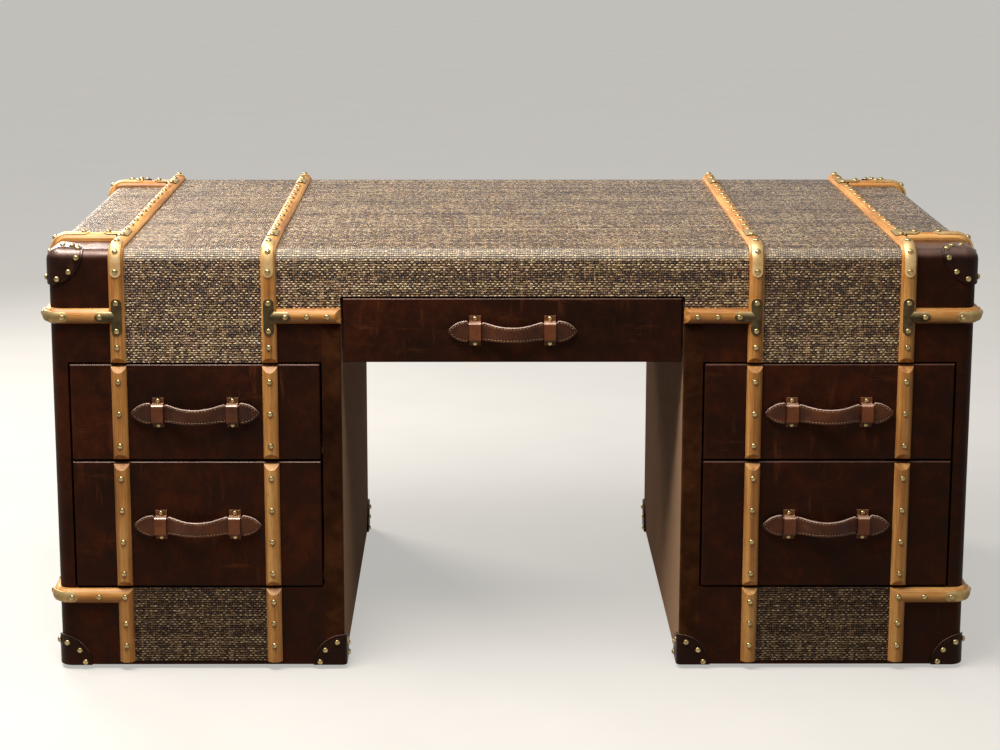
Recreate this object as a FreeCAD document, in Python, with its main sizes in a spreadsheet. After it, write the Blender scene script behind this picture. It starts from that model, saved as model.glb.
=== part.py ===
"""Trunk-style kneehole desk: leather carcass, bent battens, woven matting and five drawers.

Millimetres. +Z is up, the front faces -Y and the origin lies on the floor, in the middle of
the space that the whole desk takes up. The left-hand pieces are drawn and the right-hand ones
are their mirror images.
"""
import FreeCAD, Part
import math
import os
import re
import Sketcher

# Driving sizes
SIZES = {
    # Leather-covered block
    "width": 1610,
    "depth": 800,
    "height": 762,
    "edge_radius": 20,
    "corner_extra": 1,
    # Boards
    "top_thick": 36,
    "rail_height": 45.5,
    "outer_panel": 30,
    "inner_panel": 34.5,
    "inner_edge_radius": 5,
    "board_thick": 24,
    "base_thick": 18,
    "plinth_height": 143.5,
    "glide_height": 8,
    "glide_radius": 18,
    "glide_inset": 62,
    # Drawers
    "drawer_gap": 3.5,
    "drawer_step": 57,
    "centre_front_height": 114,
    "front_thick": 22,
    "front_round": 3,
    "drawer_proud": 2,
    "drawer_wall": 12,
    "bottom_thick": 8,
    "bottom_rise": 6,
    "side_clear": 13,
    "box_lift": 15,
    "box_clear": 28,
    "rear_clear": 136,
    "centre_rear_clear": 236,
    "runner_height": 14,
    "runner_setback": 32,
    # Half-round battens and belts
    "batten_width": 26.5,
    "batten_thick": 13,
    "batten_side": 5,
    "outer_batten_inset": 119.75,
    "batten_spacing": 263,
    "inner_batten_inset": 124.25,
    "end_batten_inset": 100,
    "belt_drop": 21.25,
    "tongue_length": 10,
    "tongue_thick": 5,
    "foot_reveal": 8,
    # Matting, corner caps and metal straps
    "matting_thick": 2,
    "cap_thick": 4,
    "top_cap_reach": 62,
    "foot_cap_reach": 56,
    "strap_width": 18.5,
    "strap_thick": 1.4,
    "strap_fit": 0.3,
    "strap_leg": 26,
    "strap_top_leg": 12,
    "end_strap_leg": 38,
    "corner_strap_leg": 15,
    "tee_stem": 65,
    "tee_arm": 24.5,
    # Leather handles and their loops
    "handle_clear": 5.75,
    "handle_leaf": 38,
    "neck_height": 28.4,
    "neck_slope": 3,
    "neck_room": 1,
    "bar_height": 33,
    "bar_dip": 6.3,
    "leather_thick": 4.5,
    "handle_standoff": 8,
    "handle_reach": 27,
    "loop_inset": 47.5,
    "loop_width": 20,
    "loop_thick": 2.2,
    "loop_room": 0.9,
    "loop_round": 5,
    "loop_tab": 9,
}

# Places and sizes that follow from the driving ones
DERIVED = {
    "corner_radius": "edge_radius + corner_extra",
    "strap_out": "strap_fit + strap_thick",
    "half_strap": "strap_width / 2",
    "strap_reach": "edge_radius + strap_leg + 2 * batten_thick",
    "middle_y": "(drawer_proud + handle_reach - batten_thick - strap_out) / 2",
    "front_y": "middle_y - depth / 2",
    "back_y": "middle_y + depth / 2",
    "face_y": "front_y - drawer_proud",
    "side_x": "width / 2",
    "outer_batten_x": "side_x - outer_batten_inset",
    "inner_batten_x": "outer_batten_x - batten_spacing",
    "knee_x": "inner_batten_x - inner_batten_inset",
    "opening_in": "knee_x + inner_panel",
    "opening_out": "side_x - outer_panel",
    "drawer_x": "(opening_in + opening_out) / 2",
    "handle_x": "(outer_batten_x + inner_batten_x) / 2",
    "slab_z": "height - top_thick",
    "plinth_top": "glide_height + plinth_height",
    "centre_rail_z": "slab_z - rail_height",
    "rail_z": "centre_rail_z - drawer_gap - centre_front_height",
    "drawer_room": "rail_z - plinth_top - 3 * drawer_gap",
    "upper_front_height": "(drawer_room - drawer_step) / 2",
    "lower_front_height": "(drawer_room + drawer_step) / 2",
    "upper_z": "rail_z - drawer_gap - upper_front_height",
    "lower_z": "plinth_top + drawer_gap",
    "lower_box_height": "lower_front_height - box_lift - box_clear",
    "upper_box_height": "upper_front_height - box_lift - box_clear",
    "centre_box_height": "centre_front_height - box_lift - box_clear",
    "bay_depth": "depth - board_thick - front_thick + drawer_proud",
    "pedestal_box_length": "bay_depth - rear_clear",
    "centre_box_length": "bay_depth - centre_rear_clear",
    "half_batten": "batten_width / 2",
    "belt_top": "centre_rail_z - belt_drop",
    "belt_z": "belt_top - half_batten",
    "low_belt_z": "plinth_top - half_batten",
    "crown_rise": "batten_thick - batten_side",
    "crown_radius": "(half_batten ^ 2 + crown_rise ^ 2) / 2 / crown_rise",
    "runner_width": "side_clear + drawer_wall",
    "half_leaf": "handle_leaf / 2",
    "half_neck": "neck_height / 2",
    "half_bar": "bar_height / 2",
    "half_leather": "leather_thick / 2",
    "handle_length": "batten_spacing - batten_width - 2 * handle_clear",
    "loop_spacing": "handle_length - 2 * loop_inset",
    "bow_start": "(loop_spacing - loop_width) / 2",
    "neck_in": "bow_start - neck_room",
    "neck_out": "bow_start + loop_width + neck_room",
    "bar_x": "neck_in - neck_slope",
    "bar_dip_radius": "(bar_x ^ 2 + bar_dip ^ 2) / 2 / bar_dip",
    "leaf_x": "neck_out + neck_slope",
    "leaf_tip": "handle_length / 2 - leaf_x",
    "leaf_tip_radius": "(leaf_tip ^ 2 + half_leaf ^ 2) / 2 / half_leaf",
    "bow_rise": "handle_reach - half_leather - handle_standoff",
    "bow_turn": "2 * atan(bow_rise / bow_start)",
    "bow_sweep": "bow_start / sin(bow_turn)",
    "handle_bend": "bow_sweep / 3",
    "bow_radius": "bow_sweep - handle_bend",
    "loop_depth": "2 * handle_standoff",
    "loop_half": "half_neck + loop_room",
}

doc = FreeCAD.newDocument("trunk_desk")
sheet = doc.addObject("Spreadsheet::Sheet", "dims")
NAMES = re.compile(r"\b(" + "|".join([*SIZES, *DERIVED]) + r")\b")
nodes = []


def fill_sheet():
    """Write the driving sizes as numbers and the derived ones as formulas."""
    cells = {name: str(value) for name, value in SIZES.items()}
    cells.update({name: "=" + formula for name, formula in DERIVED.items()})
    for row, (name, text) in enumerate(cells.items(), start=1):
        sheet.set(f"A{row}", name)
        sheet.set(f"B{row}", text)
        sheet.setAlias(f"B{row}", name)
    doc.recompute()


def linked(text):
    """Point every size name of an expression at its cell of the sheet."""
    return NAMES.sub(r"dims.\1", text)


def value(text):
    """Present value of an expression, as a plain number."""
    result = sheet.evalExpression(linked(text))
    return float(getattr(result, "Value", result))


def bind(thing, **expressions):
    """Bind properties of an object to expressions; a double underscore stands for a dot."""
    for name, text in expressions.items():
        thing.setExpression(name.replace("__", "."), linked(text))


def node(label, thing):
    """Name a finished sub-part."""
    thing.Label = label
    nodes.append(thing)
    return thing


# Building blocks
def put(thing, x, y, z):
    """Bind an object's place to expressions."""
    bind(thing, Placement__Base__x=x, Placement__Base__y=y, Placement__Base__z=z)
    return thing


def box(name, x, y, z):
    """Board between two limits on each axis."""
    board = doc.addObject("Part::Box", name)
    bind(board, Length=f"{x[1]} - ({x[0]})", Width=f"{y[1]} - ({y[0]})", Height=f"{z[1]} - ({z[0]})")
    return put(board, x[0], y[0], z[0])


def edge_between(start, end, arc):
    """Straight edge, or an arc given by its radius and the side on which its centre lies."""
    if not arc:
        return Part.LineSegment(start, end), 1, 2
    radius = value(arc[0])
    chord = end - start
    turn = 1 if arc[1] == "left" else -1
    normal = FreeCAD.Vector(-chord.y, chord.x, 0).normalize() * turn
    reach = math.sqrt(max(radius ** 2 - chord.Length ** 2 / 4, 0))
    centre = (start + end) / 2 + normal * reach
    first, last = (start, end) if turn > 0 else (end, start)
    angles = [math.atan2(point.y - centre.y, point.x - centre.x) for point in (first, last)]
    circle = Part.Circle(centre, FreeCAD.Vector(0, 0, 1), radius)
    return Part.ArcOfCircle(circle, *angles), *((1, 2) if turn > 0 else (2, 1))


def sketch(body, plane, corners, offset="0", closed=True):
    """Dimensioned outline on an origin plane.

    Each corner is (u, v), reached by a straight edge, or (u, v, radius, side), reached by an arc.
    """
    drawing = body.newObject("Sketcher::SketchObject", body.Name + "_outline")
    support = next(item for item in body.Origin.OriginFeatures if item.Role == plane)
    drawing.AttachmentSupport = [(support, "")]
    drawing.MapMode = "FlatFace"
    bind(drawing, AttachmentOffset__Base__z=offset)
    points = [FreeCAD.Vector(value(corner[0]), value(corner[1]), 0) for corner in corners]
    ends = []
    for index in range(0 if closed else 1, len(corners)):
        corner = corners[index]
        curve, first, last = edge_between(points[index - 1], points[index], corner[2:])
        ends.append((drawing.addGeometry(curve, False), first, last, index))
        if corner[2:]:
            place = drawing.addConstraint(Sketcher.Constraint("Radius", ends[-1][0], value(corner[2])))
            drawing.setExpression(f"Constraints[{place}]", linked(corner[2]))
    for before, after in zip(ends, ends[1:] + ends[:1] if closed else ends[1:]):
        drawing.addConstraint(Sketcher.Constraint("Coincident", before[0], before[2], after[0], after[1]))
    anchors = [(edge, last, index) for edge, _, last, index in ends]
    if not closed:
        anchors.insert(0, (ends[0][0], ends[0][1], 0))
    for edge, end, index in anchors:
        for kind, text in zip(("DistanceX", "DistanceY"), corners[index]):
            place = drawing.addConstraint(Sketcher.Constraint(kind, -1, 1, edge, end, value(text)))
            drawing.setExpression(f"Constraints[{place}]", linked(text))
    return drawing


def prism(name, plane, corners, offset, length):
    """Outline padded along its plane's normal."""
    body = doc.addObject("PartDesign::Body", name)
    drawing = sketch(body, plane, corners, offset)
    pad = body.newObject("PartDesign::Pad", name + "_pad")
    pad.Profile = drawing
    bind(pad, Length=length)
    return body


def pipe(name, section_plane, section, section_offset, path_plane, path, path_offset):
    """Section swept along a path of straight runs and arcs."""
    body = doc.addObject("PartDesign::Body", name)
    profile = sketch(body, section_plane, section, section_offset)
    spine = sketch(body, path_plane, path, path_offset, closed=False)
    sweep = body.newObject("PartDesign::AdditivePipe", name + "_pipe")
    sweep.Profile = profile
    sweep.Spine = (spine, [f"Edge{index}" for index in range(1, len(path))])
    return body


def boolean(kind, name, base, tool):
    """Part::Cut, Part::Common or Part::Fuse of two objects."""
    result = doc.addObject("Part::" + kind, name)
    result.Base = base
    result.Tool = tool
    return result


def group(name, pieces):
    """Separate solids that share one node."""
    compound = doc.addObject("Part::Compound", name)
    compound.Links = pieces
    return compound


def mirrored(thing, axis):
    """Mirror image across the desk's middle plane, left to right or front to back."""
    image = doc.addObject("Part::Mirroring", f"{thing.Name}_mirrored_{axis}")
    image.Source = thing
    image.Normal = FreeCAD.Vector(1, 0, 0) if axis == "x" else FreeCAD.Vector(0, 1, 0)
    bind(image, Base__y="middle_y")
    return image


def both_sides(name, pieces):
    """Left-hand pieces with their right-hand images."""
    left = group(name + "_left", pieces)
    return group(name, [left, mirrored(left, "x")])


def all_round(name, pieces):
    """Front left pieces with their images at the other three corners."""
    front = both_sides(name + "_front", pieces)
    return group(name, [front, mirrored(front, "y")])


def pair(label, thing):
    """Left-hand node and its right-hand image."""
    node(label, thing)
    node(label.replace("left", "right"), mirrored(thing, "x"))


def round_over(body, radius):
    """Fillet all round the outermost face of a pad."""
    doc.recompute()
    pad = body.Tip
    axis = pad.Profile[0].Placement.Rotation.multVec(FreeCAD.Vector(0, 0, 1))
    faces = enumerate(pad.Shape.Faces, start=1)
    outermost = max(faces, key=lambda item: item[1].CenterOfMass.dot(axis))[0]
    fillet = body.newObject("PartDesign::Fillet", body.Name + "_fillet")
    fillet.Base = (pad, [f"Face{outermost}"])
    bind(fillet, Radius=radius)
    return body


# Half-round section
def shoulder(grow):
    """Height at which the crown starts on a section that is grown all round."""
    grown = f"sqrt((crown_radius + {grow}) ^ 2 - (half_batten + {grow}) ^ 2)"
    return f"batten_side + {grown} - sqrt(crown_radius ^ 2 - half_batten ^ 2)"


def turned(corners, across, base, outward):
    """Set a section drawn upwards from (0, 0) on its base, with its crown towards an axis."""
    sign, axis = outward
    flipped = (sign == "-") != (axis == "u")
    swap = {"left": "right", "right": "left"}
    placed = []
    for width, rise, *arc in corners:
        along, out = f"{across} + ({width})", f"{base} {sign} ({rise})"
        if arc and flipped:
            arc = [arc[0], swap[arc[1]]]
        placed.append((along, out, *arc) if axis == "v" else (out, along, *arc))
    return placed


def half_round(across, base, outward, grow="0"):
    """Flat-backed section with short upright sides and a crown."""
    half = f"(half_batten + {grow})"
    corners = [(f"-{half}", "0"), (half, "0"), (half, shoulder(grow))]
    corners.append((f"-{half}", shoulder(grow), f"crown_radius + {grow}", "left"))
    return turned(corners, across, base, outward)


def strap_section(across, base, outward):
    """Thin strip that lies on the crown, as wide as the batten."""
    rim = "batten_thick - crown_radius + sqrt((crown_radius + {0}) ^ 2 - half_batten ^ 2)"
    low, high = rim.format("strap_fit"), rim.format("strap_out")
    corners = [
        ("-half_batten", high),
        ("half_batten", high, "crown_radius + strap_out", "right"),
        ("half_batten", low),
        ("-half_batten", low, "crown_radius + strap_fit", "left"),
    ]
    return turned(corners, across, base, outward)


def strap_outline(across, tip, outward):
    """Outline of a strap's leg, as wide as the strap and half-round at its tip."""
    corners = [
        ("-half_strap", "-strap_reach"),
        ("half_strap", "-strap_reach"),
        ("half_strap", "-half_strap"),
        ("0", "0", "half_strap", "left"),
        ("-half_strap", "-half_strap", "half_strap", "left"),
    ]
    return turned(corners, across, tip, outward)


def tee_outline(outward):
    """Outline of a T-strap about the origin, with half-round tips."""
    stem, arm = "tee_stem / 2", "half_batten + tee_arm"
    corners = [
        (f"-{stem}", "0", "half_strap", "left"),
        (f"-{stem} + half_strap", "-half_strap", "half_strap", "left"),
        (f"{stem} - half_strap", "-half_strap"),
        (stem, "0", "half_strap", "left"),
        (f"{stem} - half_strap", "half_strap", "half_strap", "left"),
        ("half_strap", "half_strap"),
        ("half_strap", f"{arm} - half_strap"),
        ("0", arm, "half_strap", "left"),
        ("-half_strap", f"{arm} - half_strap", "half_strap", "left"),
        ("-half_strap", "half_strap"),
        (f"-{stem} + half_strap", "half_strap"),
    ]
    return turned(corners, "0", "0", outward)


# Carcass
def rounded_block(name, bottom, grow="0"):
    """Full-size block of the desk top with rounded corners and top edges."""
    x, front, back = f"(side_x + {grow})", f"(front_y - {grow})", f"(back_y + {grow})"
    radius = f"(corner_radius + {grow})"
    corners = [
        (f"-{x}", f"{front} + {radius}"),
        (f"-{x} + {radius}", front, radius, "left"),
        (f"{x} - {radius}", front),
        (x, f"{front} + {radius}", radius, "left"),
        (x, f"{back} - {radius}"),
        (f"{x} - {radius}", back, radius, "left"),
        (f"-{x} + {radius}", back),
        (f"-{x}", f"{back} - {radius}", radius, "left"),
    ]
    block = prism(name, "XY_Plane", corners, bottom, f"height + {grow} - ({bottom})")
    return round_over(block, f"edge_radius + {grow}")


def upright_panel(name, inside, outside, radius):
    """Side of a pedestal, with its two outer edges rounded."""
    step = f"{radius}" if value(outside) > value(inside) else f"-{radius}"
    side = "left" if value(outside) > value(inside) else "right"
    corners = [
        (inside, "front_y"),
        (f"{outside} - ({step})", "front_y"),
        (outside, f"front_y + {radius}", radius, side),
        (outside, f"back_y - {radius}"),
        (f"{outside} - ({step})", "back_y", radius, side),
        (inside, "back_y"),
    ]
    return prism(name, "XY_Plane", corners, "glide_height", "slab_z - glide_height")


def make_carcass():
    """Boards of the two pedestals, the top and what joins them."""
    node("desk_top", rounded_block("top_block", "slab_z"))
    pair("left_outer_panel", upright_panel("outer_side", "-opening_out", "-side_x", "corner_radius"))
    pair("left_inner_panel", upright_panel("inner_side", "-opening_in", "-knee_x", "inner_edge_radius"))
    bay = ("-opening_out", "-opening_in")
    front_board = ("front_y", "front_y + board_thick")
    back_board = ("back_y - board_thick", "back_y")
    pair("left_top_rail", box("top_rail", bay, front_board, ("rail_z", "slab_z")))
    pair("left_plinth_board", box("plinth_board", bay, front_board, ("glide_height", "plinth_top")))
    pair("left_back_panel", box("back_panel", bay, back_board, ("glide_height", "slab_z")))
    between = (front_board[1], back_board[0])
    base = box("base_board", bay, between, ("glide_height", "glide_height + base_thick"))
    node("base_boards", both_sides("base_pair", [base]))
    knee = ("-knee_x", "knee_x")
    node("centre_rail", box("centre_board", knee, front_board, ("centre_rail_z", "slab_z")))
    node("rear_apron", box("apron_board", knee, back_board, ("rail_z", "slab_z")))


def make_runners():
    """Wooden strips that the drawer sides slide on."""
    along = ("front_y + runner_setback", "back_y - board_thick")
    outer = ("-opening_out", "-opening_out + runner_width")
    inner = ("-opening_in - runner_width", "-opening_in")
    strips = []
    for name, bottom in (("lower", "lower_z"), ("upper", "upper_z")):
        level = (f"{bottom} + box_lift - runner_height", f"{bottom} + box_lift")
        strips.append(box(name + "_outer_runner", outer, along, level))
        strips.append(box(name + "_inner_runner", inner, along, level))
    level = ("rail_z + box_lift - runner_height", "rail_z + box_lift")
    strips.append(box("centre_runner", ("-knee_x", "-knee_x + runner_width"), along, level))
    node("drawer_runners", both_sides("runner_pairs", strips))


def make_glides():
    """Round feet under the four corners of each pedestal."""
    feet = []
    for name, x in (("outer", "-side_x + glide_inset"), ("inner", "-knee_x - glide_inset")):
        foot = doc.addObject("Part::Cylinder", name + "_glide")
        bind(foot, Radius="glide_radius", Height="glide_height")
        bind(foot, Placement__Base__x=x, Placement__Base__y="front_y + glide_inset")
        feet.append(foot)
    node("foot_glides", all_round("glide_sets", feet))


# Matting
def wrapped_strip(name, x_from, x_to, front_hem, back_hem):
    """Matting laid over the top and down the front and back."""
    skin, bend = "matting_thick", "edge_radius"
    outer_bend = f"{bend} + {skin}"
    corners = [
        ("front_y", front_hem),
        (f"front_y - {skin}", front_hem),
        (f"front_y - {skin}", f"height - {bend}"),
        (f"front_y + {bend}", f"height + {skin}", outer_bend, "right"),
        (f"back_y - {bend}", f"height + {skin}"),
        (f"back_y + {skin}", f"height - {bend}", outer_bend, "right"),
        (f"back_y + {skin}", back_hem),
        ("back_y", back_hem),
        ("back_y", f"height - {bend}"),
        (f"back_y - {bend}", "height", bend, "left"),
        (f"front_y + {bend}", "height"),
        ("front_y", f"height - {bend}", bend, "left"),
    ]
    return prism(name, "YZ_Plane", corners, x_from, f"{x_to} - ({x_from})")


def end_strip():
    """Matting at the end of the top, laid over the side edge down to the belt."""
    skin, bend = "matting_thick", "edge_radius"
    start = "-outer_batten_x - half_batten"
    corners = [
        (start, "height"),
        (start, f"height + {skin}"),
        (f"-side_x + {bend}", f"height + {skin}"),
        (f"-side_x - {skin}", f"height - {bend}", f"{bend} + {skin}", "left"),
        (f"-side_x - {skin}", "belt_top"),
        ("-side_x", "belt_top"),
        ("-side_x", f"height - {bend}"),
        (f"-side_x + {bend}", "height", bend, "right"),
    ]
    margin = "(end_batten_inset + half_batten)"
    return prism("end_strip", "XZ_Plane", corners, f"{margin} - back_y", f"depth - 2 * {margin}")


def make_matting():
    """Woven matting on the top, between the battens and on the plinths."""
    edge = "(inner_batten_x - half_batten)"
    strip = wrapped_strip("centre_strip", f"-{edge}", edge, "centre_rail_z", "belt_top")
    skin = ("front_y - matting_thick", "front_y")
    cheek = box("cheek", (f"-{edge}", "-knee_x"), skin, ("belt_top", "centre_rail_z"))
    cheeks = both_sides("cheeks", [cheek])
    node("centre_matting", boolean("Fuse", "centre_cloth", strip, cheeks))
    field = ("-outer_batten_x + half_batten", "-inner_batten_x - half_batten")
    side = wrapped_strip("side_strip", *field, "rail_z", "rail_z")
    node("side_mattings", both_sides("side_strips", [side]))
    node("end_mattings", both_sides("end_strips", [end_strip()]))
    foot = box("plinth_cloth", field, skin, ("glide_height + foot_reveal", "plinth_top"))
    node("plinth_mattings", all_round("plinth_cloths", [foot]))


# Battens and belts
def bend_path(top):
    """Front face, rounded edge and top, in the plane across the desk."""
    return [
        ("front_y", top),
        ("front_y", "height - edge_radius"),
        ("front_y + edge_radius", "height", "edge_radius", "right"),
    ]


def tongue(name, x, base, end, direction):
    """Wedge that thins the end of an upright batten on the front."""
    past = f"{base} - 2 * batten_thick"
    slope = f"tongue_length / (batten_thick - tongue_thick) * (2 * batten_thick - tongue_thick)"
    corners = [(f"{base} - tongue_thick", end), (past, end), (past, f"{end} {direction} {slope}")]
    if direction == "+":
        corners.reverse()
    return prism(name, "YZ_Plane", corners, f"{x} - batten_width", "2 * batten_width")


def long_batten(name, x):
    """Batten over the top: a straight run and a bent piece down the front and the back."""
    section = half_round(x, "front_y", "-v")
    drop = pipe(name + "_drop", "XY_Plane", section, "rail_z", "YZ_Plane", bend_path("rail_z"), x)
    end = tongue(name + "_tongue", x, "front_y", "rail_z", "+")
    front = boolean("Cut", name + "_front", drop, end)
    section = half_round(x, "height", "+v")
    top = prism(name + "_top", "XZ_Plane", section, "edge_radius - back_y", "depth - 2 * edge_radius")
    return group(name, [front, top, mirrored(front, "y")])


def upright(name, x, base, outward, bottom, top):
    """Straight upright batten."""
    return prism(name, "XY_Plane", half_round(x, base, outward), bottom, f"{top} - ({bottom})")


def mitre(keep):
    """Wedge on one side of the line where a plinth batten meets the lower belt."""
    outside, inside = "-outer_batten_x - half_batten", "-outer_batten_x + half_batten"
    low = "plinth_top - batten_width"
    corner = (outside, "plinth_top") if keep == "batten" else (inside, low)
    corners = [(outside, low), (inside, "plinth_top"), corner]
    if keep == "belt":
        corners.reverse()
    return prism(f"mitre_for_{keep}", "XZ_Plane", corners, "-front_y - batten_thick", "3 * batten_thick")


def belt_corner(name, start, level):
    """Belt along the front to the corner and round it."""
    section = half_round(level, "front_y", "-u")
    path = [
        (start, "front_y"),
        ("-side_x + corner_radius", "front_y"),
        ("-side_x", "front_y + corner_radius", "corner_radius", "right"),
    ]
    return pipe(name, "YZ_Plane", section, start, "XY_Plane", path, level)


def belt_side(name, level):
    """Belt along the side between the two corner pieces."""
    section = half_round(level, "-side_x", "-u")
    return prism(name, "XZ_Plane", section, "corner_radius - back_y", "depth - 2 * corner_radius")


def make_belt(label, corner, level):
    """Corner pieces and side runs of one belt, on both sides."""
    side = belt_side(label + "_side", level)
    node(label, both_sides(label + "_runs", [corner, mirrored(corner, "y"), side]))


def make_inner_belts():
    """Short belts beside the centre drawer and the belt across the back."""
    start = "-inner_batten_x + half_batten + strap_fit"
    section = half_round("belt_z", "front_y", "-u")
    short = prism("inner_belt", "YZ_Plane", section, start, f"-knee_x - ({start})")
    past = "front_y - 2 * batten_thick"
    slope = "tongue_length / (batten_thick - tongue_thick) * (2 * batten_thick - tongue_thick)"
    corners = [("-knee_x", "front_y - tongue_thick"), ("-knee_x", past), (f"-knee_x - {slope}", past)]
    corners.reverse()
    wedge = prism("inner_belt_tongue", "XY_Plane", corners, "belt_z - batten_width", "2 * batten_width")
    front = boolean("Cut", "inner_belt_front", short, wedge)
    section = half_round("belt_z", "back_y", "+u")
    rear = prism("rear_belt", "YZ_Plane", section, start, f"-2 * ({start})")
    node("inner_belts", group("inner_belt_set", [both_sides("inner_belt_pair", [front]), rear]))


def make_battens():
    """All half-round wood on the carcass."""
    pair("outer_left_batten", long_batten("outer_batten", "-outer_batten_x"))
    pair("inner_left_batten", long_batten("inner_batten", "-inner_batten_x"))
    rear = [
        upright("rear_outer", "-outer_batten_x", "back_y", "+v", "plinth_top", "rail_z"),
        upright("rear_inner", "-inner_batten_x", "back_y", "+v", "plinth_top", "rail_z"),
    ]
    node("rear_battens", both_sides("rear_set", rear))
    foot = "glide_height + foot_reveal"
    inner = upright("plinth_inner", "-inner_batten_x", "front_y", "-v", foot, "plinth_top")
    outer = upright("plinth_outer", "-outer_batten_x", "front_y", "-v", foot, "plinth_top")
    outer = boolean("Cut", "plinth_outer_mitred", outer, mitre("batten"))
    end = tongue("plinth_tongue", "-inner_batten_x", "front_y", "plinth_top", "-")
    front = both_sides("plinth_front", [boolean("Cut", "plinth_inner_thinned", inner, end), outer])
    rear = mirrored(both_sides("plinth_rear", [inner, outer]), "y")
    node("plinth_battens", group("plinth_set", [front, rear]))
    upper = belt_corner("upper_belt_corner", "-outer_batten_x - half_batten - strap_fit", "belt_z")
    make_belt("upper_belts", upper, "belt_z")
    lower = belt_corner("lower_belt_corner", "-outer_batten_x + half_batten", "low_belt_z")
    lower = boolean("Cut", "lower_belt_mitred", lower, mitre("belt"))
    make_belt("lower_belts", lower, "low_belt_z")
    make_inner_belts()
    node("end_battens", all_round("end_batten_set", [end_batten()]))


def end_batten():
    """Batten across the end of the top, bent over the side edge down to the belt."""
    place = "front_y + end_batten_inset"
    start = "-outer_batten_x - half_batten - strap_fit"
    path = [
        (start, "height"),
        ("-side_x + edge_radius", "height"),
        ("-side_x", "height - edge_radius", "edge_radius", "left"),
        ("-side_x", "belt_top"),
    ]
    section = half_round(place, "height", "+v")
    return pipe("end_batten", "YZ_Plane", section, start, "XZ_Plane", path, f"-({place})")


# Metal straps
def trimmed(name, strip, outlines):
    """Strip cut to its outline from each of the directions that its legs face."""
    for place, (plane, corners, offset) in enumerate(outlines, start=1):
        start = f"{offset} - strap_reach"
        outline = prism(f"{name}_outline_{place}", plane, corners, start, "2 * strap_reach")
        strip = boolean("Common", f"{name}_trim_{place}", strip, outline)
    return strip


def bend_strap(name, x):
    """Strap over a long batten where it bends over the front edge."""
    foot, end = "height - edge_radius - strap_leg", "front_y + edge_radius + strap_top_leg"
    start = f"{foot} - half_strap"
    path = bend_path(start) + [(f"{end} + half_strap", "height")]
    strip = pipe(name, "XY_Plane", strap_section(x, "front_y", "-v"), start, "YZ_Plane", path, x)
    front = ("XZ_Plane", strap_outline(x, foot, "-v"), "-front_y")
    top = ("XY_Plane", strap_outline(x, end, "+v"), "height")
    return trimmed(name, strip, [front, top])


def end_batten_strap(name):
    """Strap over an end batten where it bends over the side edge."""
    place = "front_y + end_batten_inset"
    foot, end = "height - edge_radius - strap_leg", "-side_x + edge_radius + end_strap_leg"
    start = f"{end} + half_strap"
    path = [
        (start, "height"),
        ("-side_x + edge_radius", "height"),
        ("-side_x", "height - edge_radius", "edge_radius", "left"),
        ("-side_x", f"{foot} - half_strap"),
    ]
    section = strap_section(place, "height", "+v")
    strip = pipe(name, "YZ_Plane", section, start, "XZ_Plane", path, f"-({place})")
    top = ("XY_Plane", strap_outline(place, end, "+u"), "height")
    side = ("YZ_Plane", strap_outline(place, foot, "-v"), "-side_x")
    return trimmed(name, strip, [top, side])


def belt_strap(name, level):
    """Strap over a belt at the corner."""
    end, back = "-side_x + corner_radius + corner_strap_leg", "front_y + corner_radius + corner_strap_leg"
    start = f"{end} + half_strap"
    path = [
        (start, "front_y"),
        ("-side_x + corner_radius", "front_y"),
        ("-side_x", "front_y + corner_radius", "corner_radius", "right"),
        ("-side_x", f"{back} + half_strap"),
    ]
    strip = pipe(name, "YZ_Plane", strap_section(level, "front_y", "-u"), start, "XY_Plane", path, level)
    front = ("XZ_Plane", strap_outline(level, end, "+u"), "-front_y")
    side = ("YZ_Plane", strap_outline(level, back, "+u"), "-side_x")
    return trimmed(name, strip, [front, side])


def tee_layer(name, arm_side, grow):
    """Half-round batten at the origin, met from one side by a belt, both grown all round."""
    stem = prism(f"{name}_stem", "XY_Plane", half_round("0", "0", "-v", grow), "-tee_stem", "2 * tee_stem")
    start = "0" if arm_side == "+" else "-tee_stem"
    arm = prism(f"{name}_arm", "YZ_Plane", half_round("0", "0", "-u", grow), start, "tee_stem")
    return boolean("Fuse", name, stem, arm)


def tee_strap(name, arm_side):
    """T-shaped strap at the origin: stem up a batten, arm along the belt that meets it."""
    outside = tee_layer(name + "_outside", arm_side, "strap_out")
    shell = boolean("Cut", name + "_shell", outside, tee_layer(name + "_inside", arm_side, "strap_fit"))
    return trimmed(name, shell, [("XZ_Plane", tee_outline(arm_side + "u"), "0")])


def plate_strap(name):
    """Straight strap at the origin, along a batten."""
    section = strap_section("0", "0", "-v")
    strip = prism(name, "XY_Plane", section, "-tee_stem", "2 * tee_stem")
    upper = ("XZ_Plane", strap_outline("0", "tee_stem / 2", "+v"), "0")
    lower = ("XZ_Plane", strap_outline("0", "-tee_stem / 2", "-v"), "0")
    return trimmed(name, strip, [upper, lower])


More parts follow.
